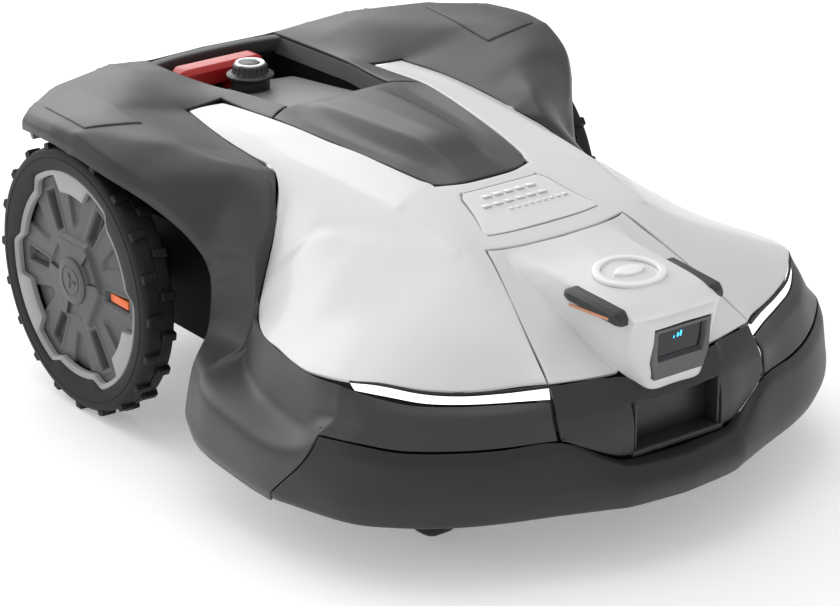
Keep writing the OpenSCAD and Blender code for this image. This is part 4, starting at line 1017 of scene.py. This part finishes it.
def hub(s, side):
    prof = [(0.5, 24), (21.2, 24), (21.4, 31.4), (21.0, 32.2), (20.0, 32.7), (14.6, 32.9), (14.2, 32.3), (12.2, 32.3),
            (11.8, 32.9), (0.5, 33.1)]
    parts = [turned(prof, 96)]
    for c in (30, 150, 270):
        k = math.radians(c)
        parts.append(put(box_round(6.5, 2.6, 1.2, 0.5, 2), (4.6 * math.cos(k), 4.6 * math.sin(k), 33.2), (0, 0, c)))
    wheel_piece("Wheel_hub_cap_", joined(parts), s, side, "rim_grey", "hub_cap_")


def wheels():
    for s, side in ((-1, "right"), (1, "left")):
        tyre(s, side)
        rim(s, side)
        ring(s, side)
        hub(s, side)
        marker = put(box_round(28, 7.6, 3.2, 0.8, 2), (0, -65.5, 22.6), (0, 0, -90))
        wheel_piece("Wheel_marker_", marker, s, side, "marker_orange", "marker_")


def cups():
    parts = []
    for x, y, z, top in ((112, -150, 188, 212), (140, 130, 224, 243)):
        h = top - z
        parts.append(put(turned([(0.01, h), (4.6, h), (6, h - 1.2), (6, 18), (20, 17), (21, 16), (21, 0),
                                 (18.2, 0), (18.2, 14), (0.01, 14)], 48), (x, y, z)))
    # the cups inside the shell get near-black instead of the shell's grey: painted shade inside the body
    scene_mesh("Inner_shell_cups", paired(joined(parts)), "inner_black", ("shell_cups",), sharp=35)


# ---------- everything else keeps its CAD shape and gets a finish ----------
def finish_cad():
    """Gives each CAD node that stays visible the finish of its material slot."""
    slots = {s["node"]: s["material_slot"] for s in frame["record"]["subparts"]}
    for node, o in NODES.items():
        if o.hide_render:
            continue
        o.data.materials.clear()
        o.data.materials.append(M[slots[node]])


CAMERA_AT = (-1.651, -2.1705, 1.223)     # metres
VIEW_AZ, VIEW_EL, LENS = -37.11, 22.37, 144.28
FLOOR_HALF, FLOOR_Z = 9.0, -0.0004      # the floor lies just under the tyres
WORLD_LIGHT = 0.58
LIGHTS = (      # name, place, aim, width, height, watts
    ("Left", (-2.4, 0.6, 1.3), (0, 0, 0.1), 1.4, 1.2, 4),
    ("Back", (-0.1, 2.4, 1.45), (0, 0, 0.2), 3.8, 1.8, 46),
    ("Top", (0.0, 0.35, 2.5), (0, 0, 0.2), 2.2, 2.2, 16))


def studio():
    """A plain floor, even light from all round, three soft lamps and the camera."""
    fl = bpy.data.meshes.new("Floor")
    r, z = FLOOR_HALF, FLOOR_Z
    fl.from_pydata([(-r, -r, z), (r, -r, z), (r, r, z), (-r, r, z)], [], [(0, 1, 2, 3)])
    fl.materials.append(M["floor"])
    floor = bpy.data.objects.new("Floor", fl)
    bpy.context.scene.collection.objects.link(floor)
    w = bpy.data.worlds.new("World")
    w.use_nodes = True
    bg = w.node_tree.nodes["Background"]
    bg.inputs[0].default_value = (1, 1, 1, 1)
    bg.inputs[1].default_value = WORLD_LIGHT
    bpy.context.scene.world = w
    for name, at, to, sx, sy, power in LIGHTS:
        d = bpy.data.lights.new(name, "AREA")
        d.shape = "RECTANGLE"
        d.size, d.size_y, d.energy = sx, sy, power
        o = bpy.data.objects.new(name, d)
        o.location = at
        o.rotation_mode = "QUATERNION"
        o.rotation_quaternion = (Vector(to) - Vector(at)).to_track_quat("-Z", "Y")
        bpy.context.scene.collection.objects.link(o)
    cd = bpy.data.cameras.new("Camera")
    cd.lens, cd.sensor_width = LENS, 36
    cam = bpy.data.objects.new("Camera", cd)
    cam.location = CAMERA_AT
    a, e = math.radians(VIEW_AZ), math.radians(VIEW_EL)
    back = Vector((math.sin(a) * math.cos(e), -math.cos(a) * math.cos(e), math.sin(e)))
    cam.rotation_mode = "QUATERNION"
    cam.rotation_quaternion = (-back).to_track_quat("-Z", "Y")
    cd.clip_start, cd.clip_end = 0.05, 60
    bpy.context.scene.collection.objects.link(cam)
    bpy.context.scene.camera = cam
    bpy.context.scene.view_settings.view_transform = "Standard"


rear_shell()
hood()
insert()
nose()
emblem()
sensor()
contact_bars()
lights()
chin()
bumper()
caps()
name_plate()
controls()
wheels()
cups()
finish_cad()
studio()
